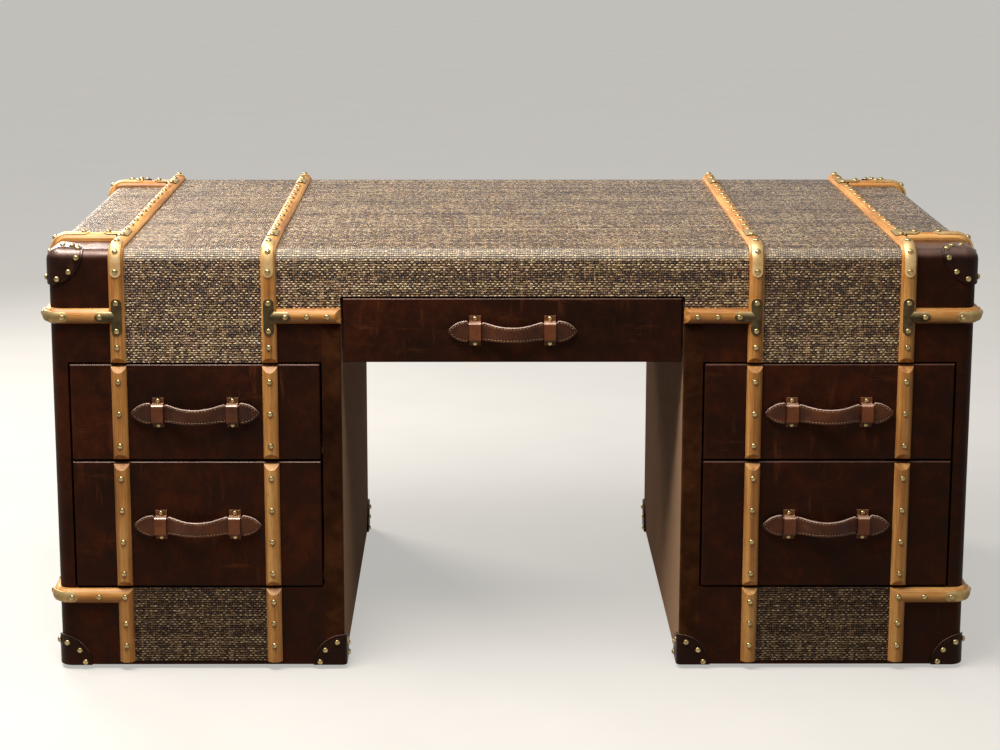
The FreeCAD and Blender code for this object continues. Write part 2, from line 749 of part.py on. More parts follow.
def make_straps():
    """Metal straps over the bends, belt corners and joints."""
    bends = [
        bend_strap("outer_bend_strap", "-outer_batten_x"),
        bend_strap("inner_bend_strap", "-inner_batten_x"),
        end_batten_strap("end_strap"),
    ]
    node("bend_straps", all_round("bend_strap_set", bends))
    corners = [belt_strap("upper_corner_strap", "belt_z"), belt_strap("lower_corner_strap", "low_belt_z")]
    node("belt_corner_straps", all_round("corner_strap_set", corners))
    outer = put(tee_strap("outer_tee", "-"), "-outer_batten_x", "front_y", "belt_z")
    inner = put(tee_strap("inner_tee", "+"), "-inner_batten_x", "front_y", "belt_z")
    place = "front_y + end_batten_inset"
    top = put(tee_strap("top_tee", "-"), "-outer_batten_x", place, "height")
    plate = put(plate_strap("top_plate"), "-inner_batten_x", place, "height")
    for lying in (top, plate):
        lying.Placement.Rotation = FreeCAD.Rotation(FreeCAD.Vector(1, 0, 0), -90)
    node("tee_straps", all_round("tee_set", [outer, inner, top, plate]))


# Leather corner caps
def ball(name, x, z, radius):
    """Sphere that gives a corner cap its round outline."""
    sphere = doc.addObject("Part::Sphere", name)
    bind(sphere, Radius=radius)
    return put(sphere, x, "front_y", z)


def top_cap():
    """Cap over a corner of the top."""
    low = "height - top_cap_reach"
    outside = rounded_block("cap_outside", low, "cap_thick")
    shell = boolean("Cut", "cap_shell", outside, rounded_block("cap_inside", low))
    return boolean("Common", "top_cap", shell, ball("top_cap_ball", "-side_x", "height", "top_cap_reach"))


def foot_cap(name, x, radius, inward):
    """Cap round the foot of a pedestal's upright corner."""
    side = "right" if inward == "+" else "left"
    back = "left" if inward == "+" else "right"
    out = "-" if inward == "+" else "+"
    reach = "foot_cap_reach"
    corners = [
        (f"{x} {inward} {reach}", "front_y"),
        (f"{x} {inward} {reach}", "front_y - cap_thick"),
        (f"{x} {inward} {radius}", "front_y - cap_thick"),
        (f"{x} {out} cap_thick", f"front_y + {radius}", f"{radius} + cap_thick", side),
        (f"{x} {out} cap_thick", f"front_y + {reach}"),
        (x, f"front_y + {reach}"),
        (x, f"front_y + {radius}"),
        (f"{x} {inward} {radius}", "front_y", radius, back),
    ]
    band = prism(name + "_band", "XY_Plane", corners, "glide_height", reach)
    return boolean("Common", name, band, ball(name + "_ball", x, "glide_height", reach))


def make_caps():
    """Leather caps at the corners of the top and at the feet."""
    node("top_corner_caps", all_round("top_cap_set", [top_cap()]))
    feet = [
        foot_cap("outer_foot_cap", "-side_x", "corner_radius", "+"),
        foot_cap("inner_foot_cap", "-knee_x", "inner_edge_radius", "-"),
    ]
    node("foot_corner_caps", all_round("foot_cap_set", feet))


# Drawers
def drawer_front(name, x, bottom, half_width, height):
    """Leather-covered front with a softened outer edge."""
    low, high = bottom, f"{bottom} + {height}"
    corners = [(f"{x} - {half_width}", low), (f"{x} + {half_width}", low)]
    corners += [(f"{x} + {half_width}", high), (f"{x} - {half_width}", high)]
    front = prism(name, "XZ_Plane", corners, "-(face_y + front_thick)", "front_thick")
    return round_over(front, "front_round")


def drawer_box(name, x, bottom, half_width, height, length):
    """Two sides, a back and a bottom."""
    start, end = "face_y + front_thick", f"face_y + front_thick + {length}"
    low, high = f"{bottom} + box_lift", f"{bottom} + box_lift + {height}"
    inside = f"({half_width} - drawer_wall)"
    left = box(name + "_left", (f"{x} - {half_width}", f"{x} - {inside}"), (start, end), (low, high))
    right = box(name + "_right", (f"{x} + {inside}", f"{x} + {half_width}"), (start, end), (low, high))
    across = (f"{x} - {inside}", f"{x} + {inside}")
    back = box(name + "_back", across, (f"{end} - drawer_wall", end), (low, high))
    floor = (f"{low} + bottom_rise", f"{low} + bottom_rise + bottom_thick")
    bottom_board = box(name + "_bottom", across, (start, f"{end} - drawer_wall"), floor)
    return group(name, [left, right, back, bottom_board])


def drawer_battens(name, bottom, height):
    """Two battens up a drawer front, thinned at both ends."""
    pieces = []
    for side, x in (("outer", "-outer_batten_x"), ("inner", "-inner_batten_x")):
        label = f"{name}_{side}"
        low, high = f"{bottom} + front_round", f"{bottom} + {height} - front_round"
        whole = upright(label, x, "face_y", "-v", low, high)
        lower = boolean("Cut", label + "_lower", whole, tongue(label + "_low_tongue", x, "face_y", low, "+"))
        upper = tongue(label + "_high_tongue", x, "face_y", high, "-")
        pieces.append(boolean("Cut", label + "_ended", lower, upper))
    return group(name, pieces)


def handle_outline(x, z):
    """Face of the handle: two pointed leaves, necks inside the loops and a bar with a hollow top."""
    tip = ("leaf_tip_radius", "right")
    top, low = f"{z} + ", f"{z} - "
    return [
        (f"{x} - handle_length / 2", z, *tip),
        (f"{x} - leaf_x", top + "half_leaf", *tip),
        (f"{x} - neck_out", top + "half_neck"),
        (f"{x} - neck_in", top + "half_neck"),
        (f"{x} - bar_x", top + "half_bar"),
        (f"{x} + bar_x", top + "half_bar", "bar_dip_radius", "left"),
        (f"{x} + neck_in", top + "half_neck"),
        (f"{x} + neck_out", top + "half_neck"),
        (f"{x} + leaf_x", top + "half_leaf"),
        (f"{x} + handle_length / 2", z, *tip),
        (f"{x} + leaf_x", low + "half_leaf", *tip),
        (f"{x} + neck_out", low + "half_neck"),
        (f"{x} + neck_in", low + "half_neck"),
        (f"{x} + bar_x", low + "half_bar"),
        (f"{x} - bar_x", low + "half_bar"),
        (f"{x} - neck_in", low + "half_neck"),
        (f"{x} - neck_out", low + "half_neck"),
        (f"{x} - leaf_x", low + "half_leaf"),
    ]


def handle_bow(x):
    """Plan of the strap: flat through the loops, bowed out between them."""
    flat = "face_y - handle_standoff"
    bend_x = "(handle_bend {0} half_leather) * sin(bow_turn)"
    bend_out = "handle_bend - (handle_bend {0} half_leather) * cos(bow_turn)"
    corners = [(f"{x} - handle_length / 2", f"{flat} + half_leather")]
    corners.append((f"{x} - handle_length / 2", f"{flat} - half_leather"))
    for near, far, sign in (("-", "+", "outer"), ("+", "-", "inner")):
        outer = sign == "outer"
        start, finish = ("-", "+") if outer else ("+", "-")
        tight, wide = f"handle_bend {near} half_leather", f"bow_radius {far} half_leather"
        out_x, out_y = bend_x.format(near), bend_out.format(near)
        level = f"{flat} {near} half_leather"
        bend, crown = ("right", "left") if outer else ("left", "right")
        corners.append((f"{x} {start} bow_start", level))
        corners.append((f"{x} {start} (bow_start - {out_x})", f"{flat} - ({out_y})", tight, bend))
        corners.append((f"{x} {finish} (bow_start - {out_x})", f"{flat} - ({out_y})", wide, crown))
        corners.append((f"{x} {finish} bow_start", level, tight, bend))
        corners.append((f"{x} {finish} handle_length / 2", level))
        if outer:
            corners.append((f"{x} + handle_length / 2", f"{flat} + half_leather"))
    return corners[:-1]


def handle_strap(name, x, z):
    """Bowed leather strap with leaf-shaped ends."""
    face = prism(name + "_face", "XZ_Plane", handle_outline(x, z), "-face_y", "2 * handle_reach")
    bow = prism(name + "_bow", "XY_Plane", handle_bow(x), f"{z} - handle_leaf", "2 * handle_leaf")
    return boolean("Common", name, face, bow)


def handle_loops(name, x, z):
    """Two leather loops that hold the strap, each with a tab above and below."""
    wall, depth, half, bend = "loop_thick", "loop_depth", "loop_half", "loop_round"
    inner_bend = "(loop_round - loop_thick)"
    tab = "(loop_half + loop_thick + loop_tab)"
    outline = [
        ("0", tab),
        (wall, tab),
        (wall, f"{half} + {wall}"),
        (f"{depth} + {wall} - {bend}", f"{half} + {wall}"),
        (f"{depth} + {wall}", f"{half} + {wall} - {bend}", bend, "right"),
        (f"{depth} + {wall}", f"-({half} + {wall} - {bend})"),
        (f"{depth} + {wall} - {bend}", f"-({half} + {wall})", bend, "right"),
        (wall, f"-({half} + {wall})"),
        (wall, f"-{tab}"),
        ("0", f"-{tab}"),
        ("0", f"-{half}"),
        (f"{depth} - {inner_bend}", f"-{half}"),
        (depth, f"-({half} - {inner_bend})", inner_bend, "left"),
        (depth, f"{half} - {inner_bend}"),
        (f"{depth} - {inner_bend}", half, inner_bend, "left"),
        ("0", half),
    ]
    swap = {"left": "right", "right": "left"}
    section = []
    for out, rise, *arc in outline:
        section.append((f"face_y - ({out})", f"{z} + ({rise})", *([arc[0], swap[arc[1]]] if arc else [])))
    loops = []
    for side, sign in (("left", "-"), ("right", "+")):
        start = f"{x} {sign} loop_spacing / 2 - loop_width / 2"
        loops.append(prism(f"{name}_{side}", "YZ_Plane", section, start, "loop_width"))
    return group(name, loops)


def make_pedestal_drawer(level, bottom, height, box_height):
    """Drawer of the left pedestal and its image in the right one."""
    x, name = "-drawer_x", f"{level}_drawer"
    half_opening = "(opening_out - opening_in) / 2"
    half_front, half_box = f"({half_opening} - drawer_gap)", f"({half_opening} - side_clear)"
    middle = f"{bottom} + {height} / 2"
    label = f"{level}_left_"
    pair(label + "drawer_front", drawer_front(name + "_front", x, bottom, half_front, height))
    walls = drawer_box(name + "_box", x, bottom, half_box, box_height, "pedestal_box_length")
    pair(label + "drawer_box", walls)
    pair(label + "drawer_battens", drawer_battens(name + "_battens", bottom, height))
    pair(label + "handle_strap", handle_strap(name + "_strap", "-handle_x", middle))
    pair(label + "handle_loops", handle_loops(name + "_loops", "-handle_x", middle))


def make_centre_drawer():
    """Shallow drawer over the kneehole."""
    half_front, half_box = "(knee_x - drawer_gap)", "(knee_x - side_clear)"
    middle = "rail_z + centre_front_height / 2"
    front = drawer_front("centre_front", "0", "rail_z", half_front, "centre_front_height")
    node("centre_drawer_front", front)
    walls = drawer_box("centre_box", "0", "rail_z", half_box, "centre_box_height", "centre_box_length")
    node("centre_drawer_box", walls)
    node("centre_handle_strap", handle_strap("centre_strap", "0", middle))
    node("centre_handle_loops", handle_loops("centre_loops", "0", middle))


def check_document():
    """Stop if any object failed or any sub-part is empty or broken."""
    doc.recompute()
    failed = [item.Label for item in doc.Objects if {"Invalid", "Error"} & set(item.State)]
    failed += [item.Label for item in nodes if item.Shape.isNull() or not item.Shape.isValid()]
    if failed:
        raise RuntimeError("failed objects: " + ", ".join(failed))


def write_parts():
    """One STEP file for each sub-part."""
    os.makedirs("parts", exist_ok=True)
    for item in nodes:
        solids = item.Shape.Solids
        shape = solids[0] if len(solids) == 1 else Part.makeCompound(solids)
        shape.exportStep(f"parts/{item.Label}.step")


fill_sheet()
make_carcass()
make_runners()
make_glides()
make_matting()
make_battens()
make_straps()
make_caps()
make_pedestal_drawer("lower", "lower_z", "lower_front_height", "lower_box_height")
make_pedestal_drawer("upper", "upper_z", "upper_front_height", "upper_box_height")
make_centre_drawer()
check_document()
write_parts()
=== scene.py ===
"""Looks of the trunk-style kneehole desk: hide, matting, oiled wood, aged metal, nails and stitching."""
import math

import bmesh
import bpy
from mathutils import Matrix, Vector


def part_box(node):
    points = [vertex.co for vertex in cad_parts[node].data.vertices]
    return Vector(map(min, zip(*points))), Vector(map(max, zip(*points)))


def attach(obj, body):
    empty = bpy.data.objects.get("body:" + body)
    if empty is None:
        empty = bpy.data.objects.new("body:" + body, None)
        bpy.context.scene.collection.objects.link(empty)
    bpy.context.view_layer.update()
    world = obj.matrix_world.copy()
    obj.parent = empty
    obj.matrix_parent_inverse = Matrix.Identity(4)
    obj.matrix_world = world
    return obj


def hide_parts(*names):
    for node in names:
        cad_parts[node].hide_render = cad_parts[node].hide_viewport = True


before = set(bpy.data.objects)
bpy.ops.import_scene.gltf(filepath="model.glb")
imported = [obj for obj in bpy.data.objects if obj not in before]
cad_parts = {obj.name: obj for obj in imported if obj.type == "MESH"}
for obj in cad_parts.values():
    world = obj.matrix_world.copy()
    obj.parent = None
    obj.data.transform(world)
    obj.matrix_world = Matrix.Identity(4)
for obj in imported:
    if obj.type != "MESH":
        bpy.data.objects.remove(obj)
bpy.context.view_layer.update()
MM = 0.001

# Places read from the solids
LOW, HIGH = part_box("desk_top")
SIDE, FRONT, BACK, TOP = HIGH.x, LOW.y, HIGH.y, HIGH.z
MIDDLE = (FRONT + BACK) / 2
BATTEN_LOW, BATTEN_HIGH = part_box("outer_right_batten")
OUTER = (BATTEN_LOW.x + BATTEN_HIGH.x) / 2
HALF = (BATTEN_HIGH.x - BATTEN_LOW.x) / 2
INNER = sum(corner.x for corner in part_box("inner_right_batten")) / 2
CROWN = FRONT - BATTEN_LOW.y
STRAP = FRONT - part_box("bend_straps")[0].y
RAIL = BATTEN_LOW.z
BELT_LOW, BELT_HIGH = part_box("inner_belts")
BELT = (BELT_LOW.z + BELT_HIGH.z) / 2
LOW_BELT = sum(corner.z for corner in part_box("lower_belts")) / 2
LOW_PANEL, KNEE_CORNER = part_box("left_inner_panel")
KNEE = -KNEE_CORNER.x
CENTRE_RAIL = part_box("centre_rail")[0].z
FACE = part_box("upper_left_drawer_front")[0].y
PLINTH_LOW, PLINTH_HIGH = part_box("plinth_mattings")
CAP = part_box("top_corner_caps")[1].z - TOP
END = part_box("end_battens")[0].y + HALF
FLOOR_LINE = LOW_PANEL.z
EDGE = 20 * MM
SKIN = 2 * MM
GAP = 0.3 * MM
HALF_DEPTH = (BACK - FRONT) / 2
END_INSET = 100 * MM
STRAND = 4.2 * MM
PALE = (0.86, 0.84, 0.80, 1.0)
FLOOR_GLOW = 0.53


# Material helper
class Shader:
    """One procedural material around a Principled shader."""

    def __init__(self, name, **fixed):
        self.material = bpy.data.materials.new(name)
        self.material.use_nodes = True
        self.tree = self.material.node_tree
        self.surface = self.tree.nodes["Principled BSDF"]
        for socket, value in fixed.items():
            self.surface.inputs[socket.replace("_", " ")].default_value = value

    def node(self, kind, sockets, **settings):
        made = self.tree.nodes.new("ShaderNode" + kind)
        for key, value in settings.items():
            setattr(made, key, value)
        for key, value in sockets.items():
            self.feed(made.inputs[key], value)
        return made

    def feed(self, socket, value):
        if isinstance(value, bpy.types.NodeSocket):
            self.tree.links.new(value, socket)
        else:
            socket.default_value = value

    def coords(self, kind="Object"):
        return self.node("TexCoord", {}).outputs[kind]

    def math(self, operation, first, second=0.0, clamp=False):
        return self.node("Math", {0: first, 1: second}, operation=operation, use_clamp=clamp).outputs[0]

    def scaled(self, vector, scale):
        return self.node("VectorMath", {0: vector, 1: scale}, operation="MULTIPLY").outputs[0]

    def split(self, vector):
        return self.node("SeparateXYZ", {0: vector}).outputs

    def noise(self, vector, scale, detail=3.0, rough=0.55):
        sockets = {"Vector": vector, "Scale": scale, "Detail": detail, "Roughness": rough}
        return self.node("TexNoise", sockets).outputs["Fac"]

    def cells(self, vector, scale, feature="F1"):
        sockets = {"Vector": vector, "Scale": scale}
        return self.node("TexVoronoi", sockets, feature=feature).outputs["Distance"]

    def chance(self, vector):
        return self.node("TexWhiteNoise", {"Vector": vector}, noise_dimensions="3D").outputs["Value"]

    def fit(self, value, low, high, to_low=0.0, to_high=1.0):
        sockets = {0: value, 1: low, 2: high, 3: to_low, 4: to_high}
        return self.node("MapRange", sockets, interpolation_type="SMOOTHSTEP").outputs[0]

    def ramp(self, value, stops):
        made = self.node("ValToRGB", {0: value})
        elements = made.color_ramp.elements
        while len(elements) < len(stops):
            elements.new(0.5)
        for element, (place, colour) in zip(elements, stops):
            element.position = place
            element.color = (*colour, 1.0)
        return made.outputs[0]

    def mix(self, share, first, second, blend="MIX"):
        sockets = {0: share, 6: first, 7: second}
        return self.node("Mix", sockets, data_type="RGBA", blend_type=blend).outputs[2]

    def choose(self, share, first, second):
        return self.node("Mix", {0: share, 4: first, 5: second}, data_type="VECTOR").outputs[1]

    def bump(self, height, strength, depth, normal=None):
        sockets = {"Height": height, "Strength": strength, "Distance": depth}
        if normal is not None:
            sockets["Normal"] = normal
        return self.node("Bump", sockets).outputs[0]

    def set(self, **sockets):
        for name, value in sockets.items():
            self.feed(self.surface.inputs[name.replace("_", " ")], value)
        return self.material


def rgb(red, green, blue):
    """Linear colour from a screen colour."""
    parts = (red, green, blue)
    return tuple(((c / 255 + 0.055) / 1.055) ** 2.4 if c > 10 else c / 255 / 12.92 for c in parts)


def opaque(red, green, blue):
    """Linear colour with full cover, from a screen colour."""
    return (*rgb(red, green, blue), 1.0)


def hide(name, deep, body, worn, edge, rough=0.5, polish=0.3, pressed=None, bloom=0.0):
    """Waxed leather: mottled tone, pores, scuffs, polish and a pale tone where it faces up (partly wear,
    partly a painted highlight), and pressed lines.
    """
    s = Shader(name, Specular_IOR_Level=polish, Specular_Tint=(1.0, 0.78, 0.68, 1.0), Sheen_Weight=bloom,
               Sheen_Roughness=0.4, Sheen_Tint=(1.0, 0.62, 0.36, 1.0))
    place = s.coords()
    cloud = s.noise(place, 5.5, 4.0, 0.62)
    mottle = s.noise(place, 34.0, 6.0, 0.68)
    tone = s.math("ADD", s.math("MULTIPLY", cloud, 0.55), s.math("MULTIPLY", mottle, 0.45))
    colour = s.ramp(tone, [(0.36, deep), (0.50, body), (0.68, worn)])
    patch = s.fit(s.noise(place, 6.0, 2.0), 0.47, 0.62)
    scuff = 0.0
    for stretch, scale in (((1.0, 1.0, 0.16), 70.0), ((0.14, 1.0, 1.0), 60.0)):
        drag = s.fit(s.noise(s.scaled(place, stretch), scale, 5.0, 0.7), 0.56, 0.80)
        scuff = s.math("MAXIMUM", scuff, s.math("MULTIPLY", drag, patch))
    colour = s.mix(s.math("MULTIPLY", scuff, 0.55), colour, opaque(118, 68, 40))
    # Pale edge colour mixed in where the leather faces up: partly wear, partly a painted highlight.
    upward = s.fit(s.split(s.coords("Normal"))[2], 0.15, 0.75)
    highlight_and_wear = s.math("MULTIPLY", upward, s.fit(mottle, 0.3, 0.6, 0.25, 0.6))
    colour = s.mix(highlight_and_wear, colour, (*edge, 1.0))
    pores = s.cells(place, 720.0)
    creases = s.cells(place, 210.0, "DISTANCE_TO_EDGE")
    height = s.math("ADD", s.math("MULTIPLY", pores, 0.6), s.fit(creases, 0.0, 0.12))
    normal = s.bump(height, 0.16, 0.0004)
    if pressed:
        corners, depth, level, rings = pressed
        x, y, z = s.split(place)
        away = [s.math("ABSOLUTE", s.math("SUBTRACT", s.math("ABSOLUTE", x), corner)) for corner in corners]
        dx = s.math("MINIMUM", away[0], away[-1])
        dy = s.math("SUBTRACT", s.math("ABSOLUTE", s.math("SUBTRACT", y, MIDDLE)), depth)
        offset = s.node("CombineXYZ", {0: dx, 1: dy, 2: s.math("SUBTRACT", z, level)}).outputs[0]
        reach = s.node("VectorMath", {0: offset}, operation="LENGTH").outputs["Value"]
        lines = 1.0
        for ring in rings:
            gap = s.math("ABSOLUTE", s.math("SUBTRACT", reach, ring))
            lines = s.math("MULTIPLY", lines, s.fit(gap, 0.0003, 0.0011))
        colour = s.mix(s.math("MULTIPLY", s.math("SUBTRACT", 1.0, lines), 0.7), colour, (*deep, 1.0))
        normal = s.bump(lines, 0.9, 0.0012, normal)
    roughness = s.fit(mottle, 0.3, 0.7, rough - 0.06, rough + 0.12)
    roughness = s.math("SUBTRACT", roughness, s.math("MULTIPLY", upward, 0.2))
    shine = s.math("MULTIPLY", s.fit(upward, 0.0, 1.0, 0.35, 2.4), polish)
    return s.set(Base_Color=colour, Roughness=roughness, Specular_IOR_Level=shine, Normal=normal)


def wood(name, along, other=None, turn=None):
    """Oiled batten wood with its grain along the run; a second run takes over past a place on an axis."""
    s = Shader(name, Specular_IOR_Level=0.4)
    place = s.coords()
    slow = {"x": (0.035, 1.0, 1.0), "y": (1.0, 0.035, 1.0), "z": (1.0, 1.0, 0.035)}
    path = s.scaled(place, slow[along])
    if other:
        axis, limit = turn
        past = s.math("GREATER_THAN", s.math("ABSOLUTE", s.split(place)["XYZ".index(axis)]), limit)
        path = s.choose(past, path, s.scaled(place, slow[other]))
    broad = s.noise(path, 95.0, 4.0, 0.6)
    fine = s.noise(path, 520.0, 5.0, 0.7)
    blotch = s.noise(place, 11.0, 3.0, 0.6)
    tone = s.math("ADD", s.math("MULTIPLY", broad, 0.55), s.math("MULTIPLY", fine, 0.25))
    tone = s.math("ADD", tone, s.math("MULTIPLY", blotch, 0.20))
    stops = [(0.36, rgb(132, 78, 28)), (0.48, rgb(190, 128, 60)), (0.62, rgb(230, 176, 104))]
    colour = s.ramp(tone, stops)
    pores = s.fit(s.noise(path, 900.0, 2.0, 0.5), 0.62, 0.70)
    colour = s.mix(s.math("MULTIPLY", pores, 0.4), colour, opaque(104, 66, 32))
    stain = s.fit(s.noise(place, 26.0, 4.0, 0.7), 0.58, 0.76)
    colour = s.mix(s.math("MULTIPLY", stain, 0.35), colour, opaque(120, 76, 36))
    roughness = s.fit(broad, 0.3, 0.7, 0.36, 0.52)
    return s.set(Base_Color=colour, Roughness=roughness, Normal=s.bump(fine, 0.12, 0.0005))


def plain_wood():
    """Raw drawer wood, grain from front to back."""
    s = Shader("drawer_board", Specular_IOR_Level=0.3)
    place = s.coords()
    path = s.scaled(place, (1.0, 0.04, 1.0))
    ring = s.noise(path, 34.0, 4.0, 0.6)
    fine = s.noise(path, 420.0, 4.0, 0.7)
    tone = s.math("ADD", s.math("MULTIPLY", ring, 0.7), s.math("MULTIPLY", fine, 0.3))
    colour = s.ramp(tone, [(0.36, rgb(156, 118, 78)), (0.5, rgb(186, 148, 104)), (0.66, rgb(204, 170, 126))])
    roughness = s.fit(fine, 0.3, 0.7, 0.55, 0.7)
    return s.set(Base_Color=colour, Roughness=roughness, Normal=s.bump(fine, 0.15, 0.0004))


def metal(name, dull, bright, rough, scale=60.0, highlight_and_wear=None):
    """Aged metal with a patchy skin and fine specks, and a paler tone where it faces up: a painted
    highlight, partly wear.
    """
    s = Shader(name, Metallic=1.0)
    place = s.coords()
    patch = s.noise(place, scale, 5.0, 0.65)
    speck = s.noise(place, scale * 14, 3.0, 0.6)
    tone = s.math("ADD", s.math("MULTIPLY", patch, 0.75), s.math("MULTIPLY", speck, 0.25))
    colour = s.ramp(tone, [(0.36, dull), (0.62, bright)])
    # Paler colours mixed in where the metal faces up: a painted highlight, partly wear.
    if highlight_and_wear:
        upward = s.fit(s.split(s.coords("Normal"))[2], -0.1, 0.7)
        colour = s.mix(upward, colour, s.ramp(tone, [(0.36, highlight_and_wear[0]), (0.62, highlight_and_wear[1])]))
    roughness = s.fit(tone, 0.35, 0.65, rough + 0.12, rough - 0.06)
    return s.set(Base_Color=colour, Roughness=roughness, Normal=s.bump(speck, 0.08, 0.0003))


def woven():
    """Plain-woven matting in mixed natural tones, with a painted highlight over the bends, painted shade in
    the gaps between strands and painted shade towards the floor.
    """
    s = Shader("woven_matting", Specular_Tint=(1.0, 0.97, 0.93, 1.0), Sheen_Weight=0.16, Sheen_Roughness=0.4,
               Sheen_Tint=(0.86, 0.90, 1.0, 1.0))
    flat = s.coords("UV")
    drift = s.math("SUBTRACT", s.noise(flat, 75.0, 3.0), 0.5)
    sway = s.math("SUBTRACT", s.noise(s.scaled(flat, (1.3, 1.3, 1.0)), 58.0, 3.0), 0.5)
    u, v, _ = s.split(flat)
    u = s.math("ADD", s.math("DIVIDE", u, STRAND), s.math("MULTIPLY", drift, 1.5))
    v = s.math("ADD", s.math("DIVIDE", v, STRAND), s.math("MULTIPLY", sway, 1.1))
    column, row = s.math("FLOOR", u), s.math("FLOOR", v)
    over = s.math("FLOORED_MODULO", s.math("ADD", column, row), 2.0)
    across = s.math("SUBTRACT", s.math("MULTIPLY", s.math("FRACT", u), 2.0), 1.0)
    up = s.math("SUBTRACT", s.math("MULTIPLY", s.math("FRACT", v), 2.0), 1.0)
    across, up = s.math("MULTIPLY", across, across), s.math("MULTIPLY", up, up)

    def less(amount, value):
        return s.math("SUBTRACT", 1.0, s.math("MULTIPLY", value, amount))

    def blend(share, first, second):
        return s.math("ADD", first, s.math("MULTIPLY", share, s.math("SUBTRACT", second, first)))

    weft = s.math("MULTIPLY", less(1.5, up), less(0.5, s.math("MULTIPLY", across, across)))
    warp = s.math("MULTIPLY", less(2.0, across), less(0.6, s.math("MULTIPLY", up, up)))
    under = s.math("MULTIPLY", less(1.5, up), 0.45)
    height = s.math("MAXIMUM", blend(over, s.math("MULTIPLY", warp, 0.85), weft), under, clamp=True)
    pale = s.math("MAXIMUM", over, s.math("GREATER_THAN", under, warp))
    fibre = s.noise(s.scaled(flat, (1.0, 3.0, 1.0)), 420.0, 3.0, 0.6)
    cloud = s.noise(flat, 9.0, 4.0, 0.62)
    each = s.chance(s.node("CombineXYZ", {0: column, 1: row}).outputs[0])
    common = s.math("ADD", s.math("MULTIPLY", fibre, 0.20), s.math("MULTIPLY", cloud, 0.28))
    common = s.math("ADD", common, s.math("MULTIPLY", each, 0.30))
    by_row = s.chance(s.node("CombineXYZ", {1: row, 2: 3.0}).outputs[0])
    by_column = s.chance(s.node("CombineXYZ", {0: column, 2: 9.0}).outputs[0])
    streak = s.noise(s.scaled(flat, (0.35, 1.0, 1.0)), 260.0, 2.0)
    streak = s.math("MULTIPLY", s.math("SUBTRACT", streak, 0.5), 0.5)
    weft_tone = s.math("ADD", s.math("ADD", common, streak), s.math("MULTIPLY", by_row, 0.20))
    warp_tone = s.math("ADD", common, s.math("MULTIPLY", by_column, 0.22))
    light = s.ramp(weft_tone, [(0.30, rgb(54, 32, 17)), (0.42, rgb(110, 79, 46)), (0.52, rgb(172, 136, 91)),
                               (0.64, rgb(242, 220, 178))])
    dark = s.ramp(warp_tone, [(0.30, rgb(28, 15, 7)), (0.52, rgb(70, 46, 28)), (0.68, rgb(176, 143, 100))])
    colour = s.mix(pale, dark, light)
    tints = [(0.38, rgb(246, 240, 218)), (0.5, rgb(250, 246, 238)), (0.62, rgb(248, 234, 234))]
    dye = s.ramp(s.noise(flat, 38.0, 3.0), tints)
    colour = s.mix(1.0, colour, dye, "MULTIPLY")
    tilt = s.split(s.coords("Normal"))[2]
    # Paler strands where the surface turns from top to front: a painted highlight along the bend, with some
    # wear.
    highlight_and_wear = s.math("MULTIPLY", s.fit(tilt, 0.05, 0.30), s.fit(tilt, 0.995, 0.90))
    colour = s.mix(s.math("MULTIPLY", highlight_and_wear, 0.32), colour, opaque(238, 226, 206))
    # Darker towards the floor: painted shade.
    painted_low_shade = s.fit(s.split(s.coords())[2], 0.3, 0.1, 0.0, 0.5)
    colour = s.mix(painted_low_shade, colour, opaque(32, 17, 6))
    # Low parts of the weave, the gaps between strands, are mixed towards near black: painted shade.
    depth = s.math("MAXIMUM", s.fit(height, 0.0, 0.6), s.math("MULTIPLY", highlight_and_wear, 0.2))
    colour = s.mix(depth, opaque(20, 9, 3), colour)
    normal = s.bump(height, 0.75, 0.0015)
    shine = s.math("MULTIPLY", s.fit(height, 0.25, 0.85), s.fit(painted_low_shade, 0.0, 0.5, 1.0, 0.4))
    roughness = s.fit(fibre, 0.3, 0.7, 0.29, 0.42)
    return s.set(Base_Color=colour, Roughness=roughness, Specular_IOR_Level=shine, Normal=normal)


def seen_rays(tree):
    """One for rays of the camera, of reflections and through glass, none for light bounced on the object."""
    path = tree.nodes.new("ShaderNodeLightPath").outputs
    total = path["Is Camera Ray"]
    for kind in ("Is Glossy Ray", "Is Transmission Ray"):
        most = tree.nodes.new("ShaderNodeMath")
        most.operation = "MAXIMUM"
        tree.links.new(total, most.inputs[0])
        tree.links.new(path[kind], most.inputs[1])
        total = most.outputs[0]
    return total


def thread():
    """Waxed linen stitching."""
    s = Shader("linen_thread", Roughness=0.7)
    twist = s.noise(s.coords(), 1500.0, 2.0)
    return s.set(Base_Color=s.ramp(twist, [(0.35, rgb(150, 112, 74)), (0.65, rgb(204, 168, 124))]))


def studio_floor():
    """Plain floor, pale to the eye and in reflections, that bounces less and warmer light."""
    s = Shader("pale_floor", Roughness=0.85, Specular_IOR_Level=0.2, Emission_Color=PALE)
    grain = s.noise(s.coords(), 3.0, 3.0)
    grey = s.ramp(grain, [(0.3, rgb(158, 154, 147)), (0.7, rgb(164, 160, 153))])
    seen = seen_rays(s.tree)
    glow = s.math("MULTIPLY", seen, FLOOR_GLOW)
    return s.set(Base_Color=s.mix(seen, opaque(80, 58, 38), grey), Emission_Strength=glow)


# The last colour of each hide is laid on where it faces up: partly wear, partly a painted highlight.
HIDE = hide("hide", rgb(24, 9, 4), rgb(42, 18, 8), rgb(74, 34, 15), rgb(98, 64, 50))
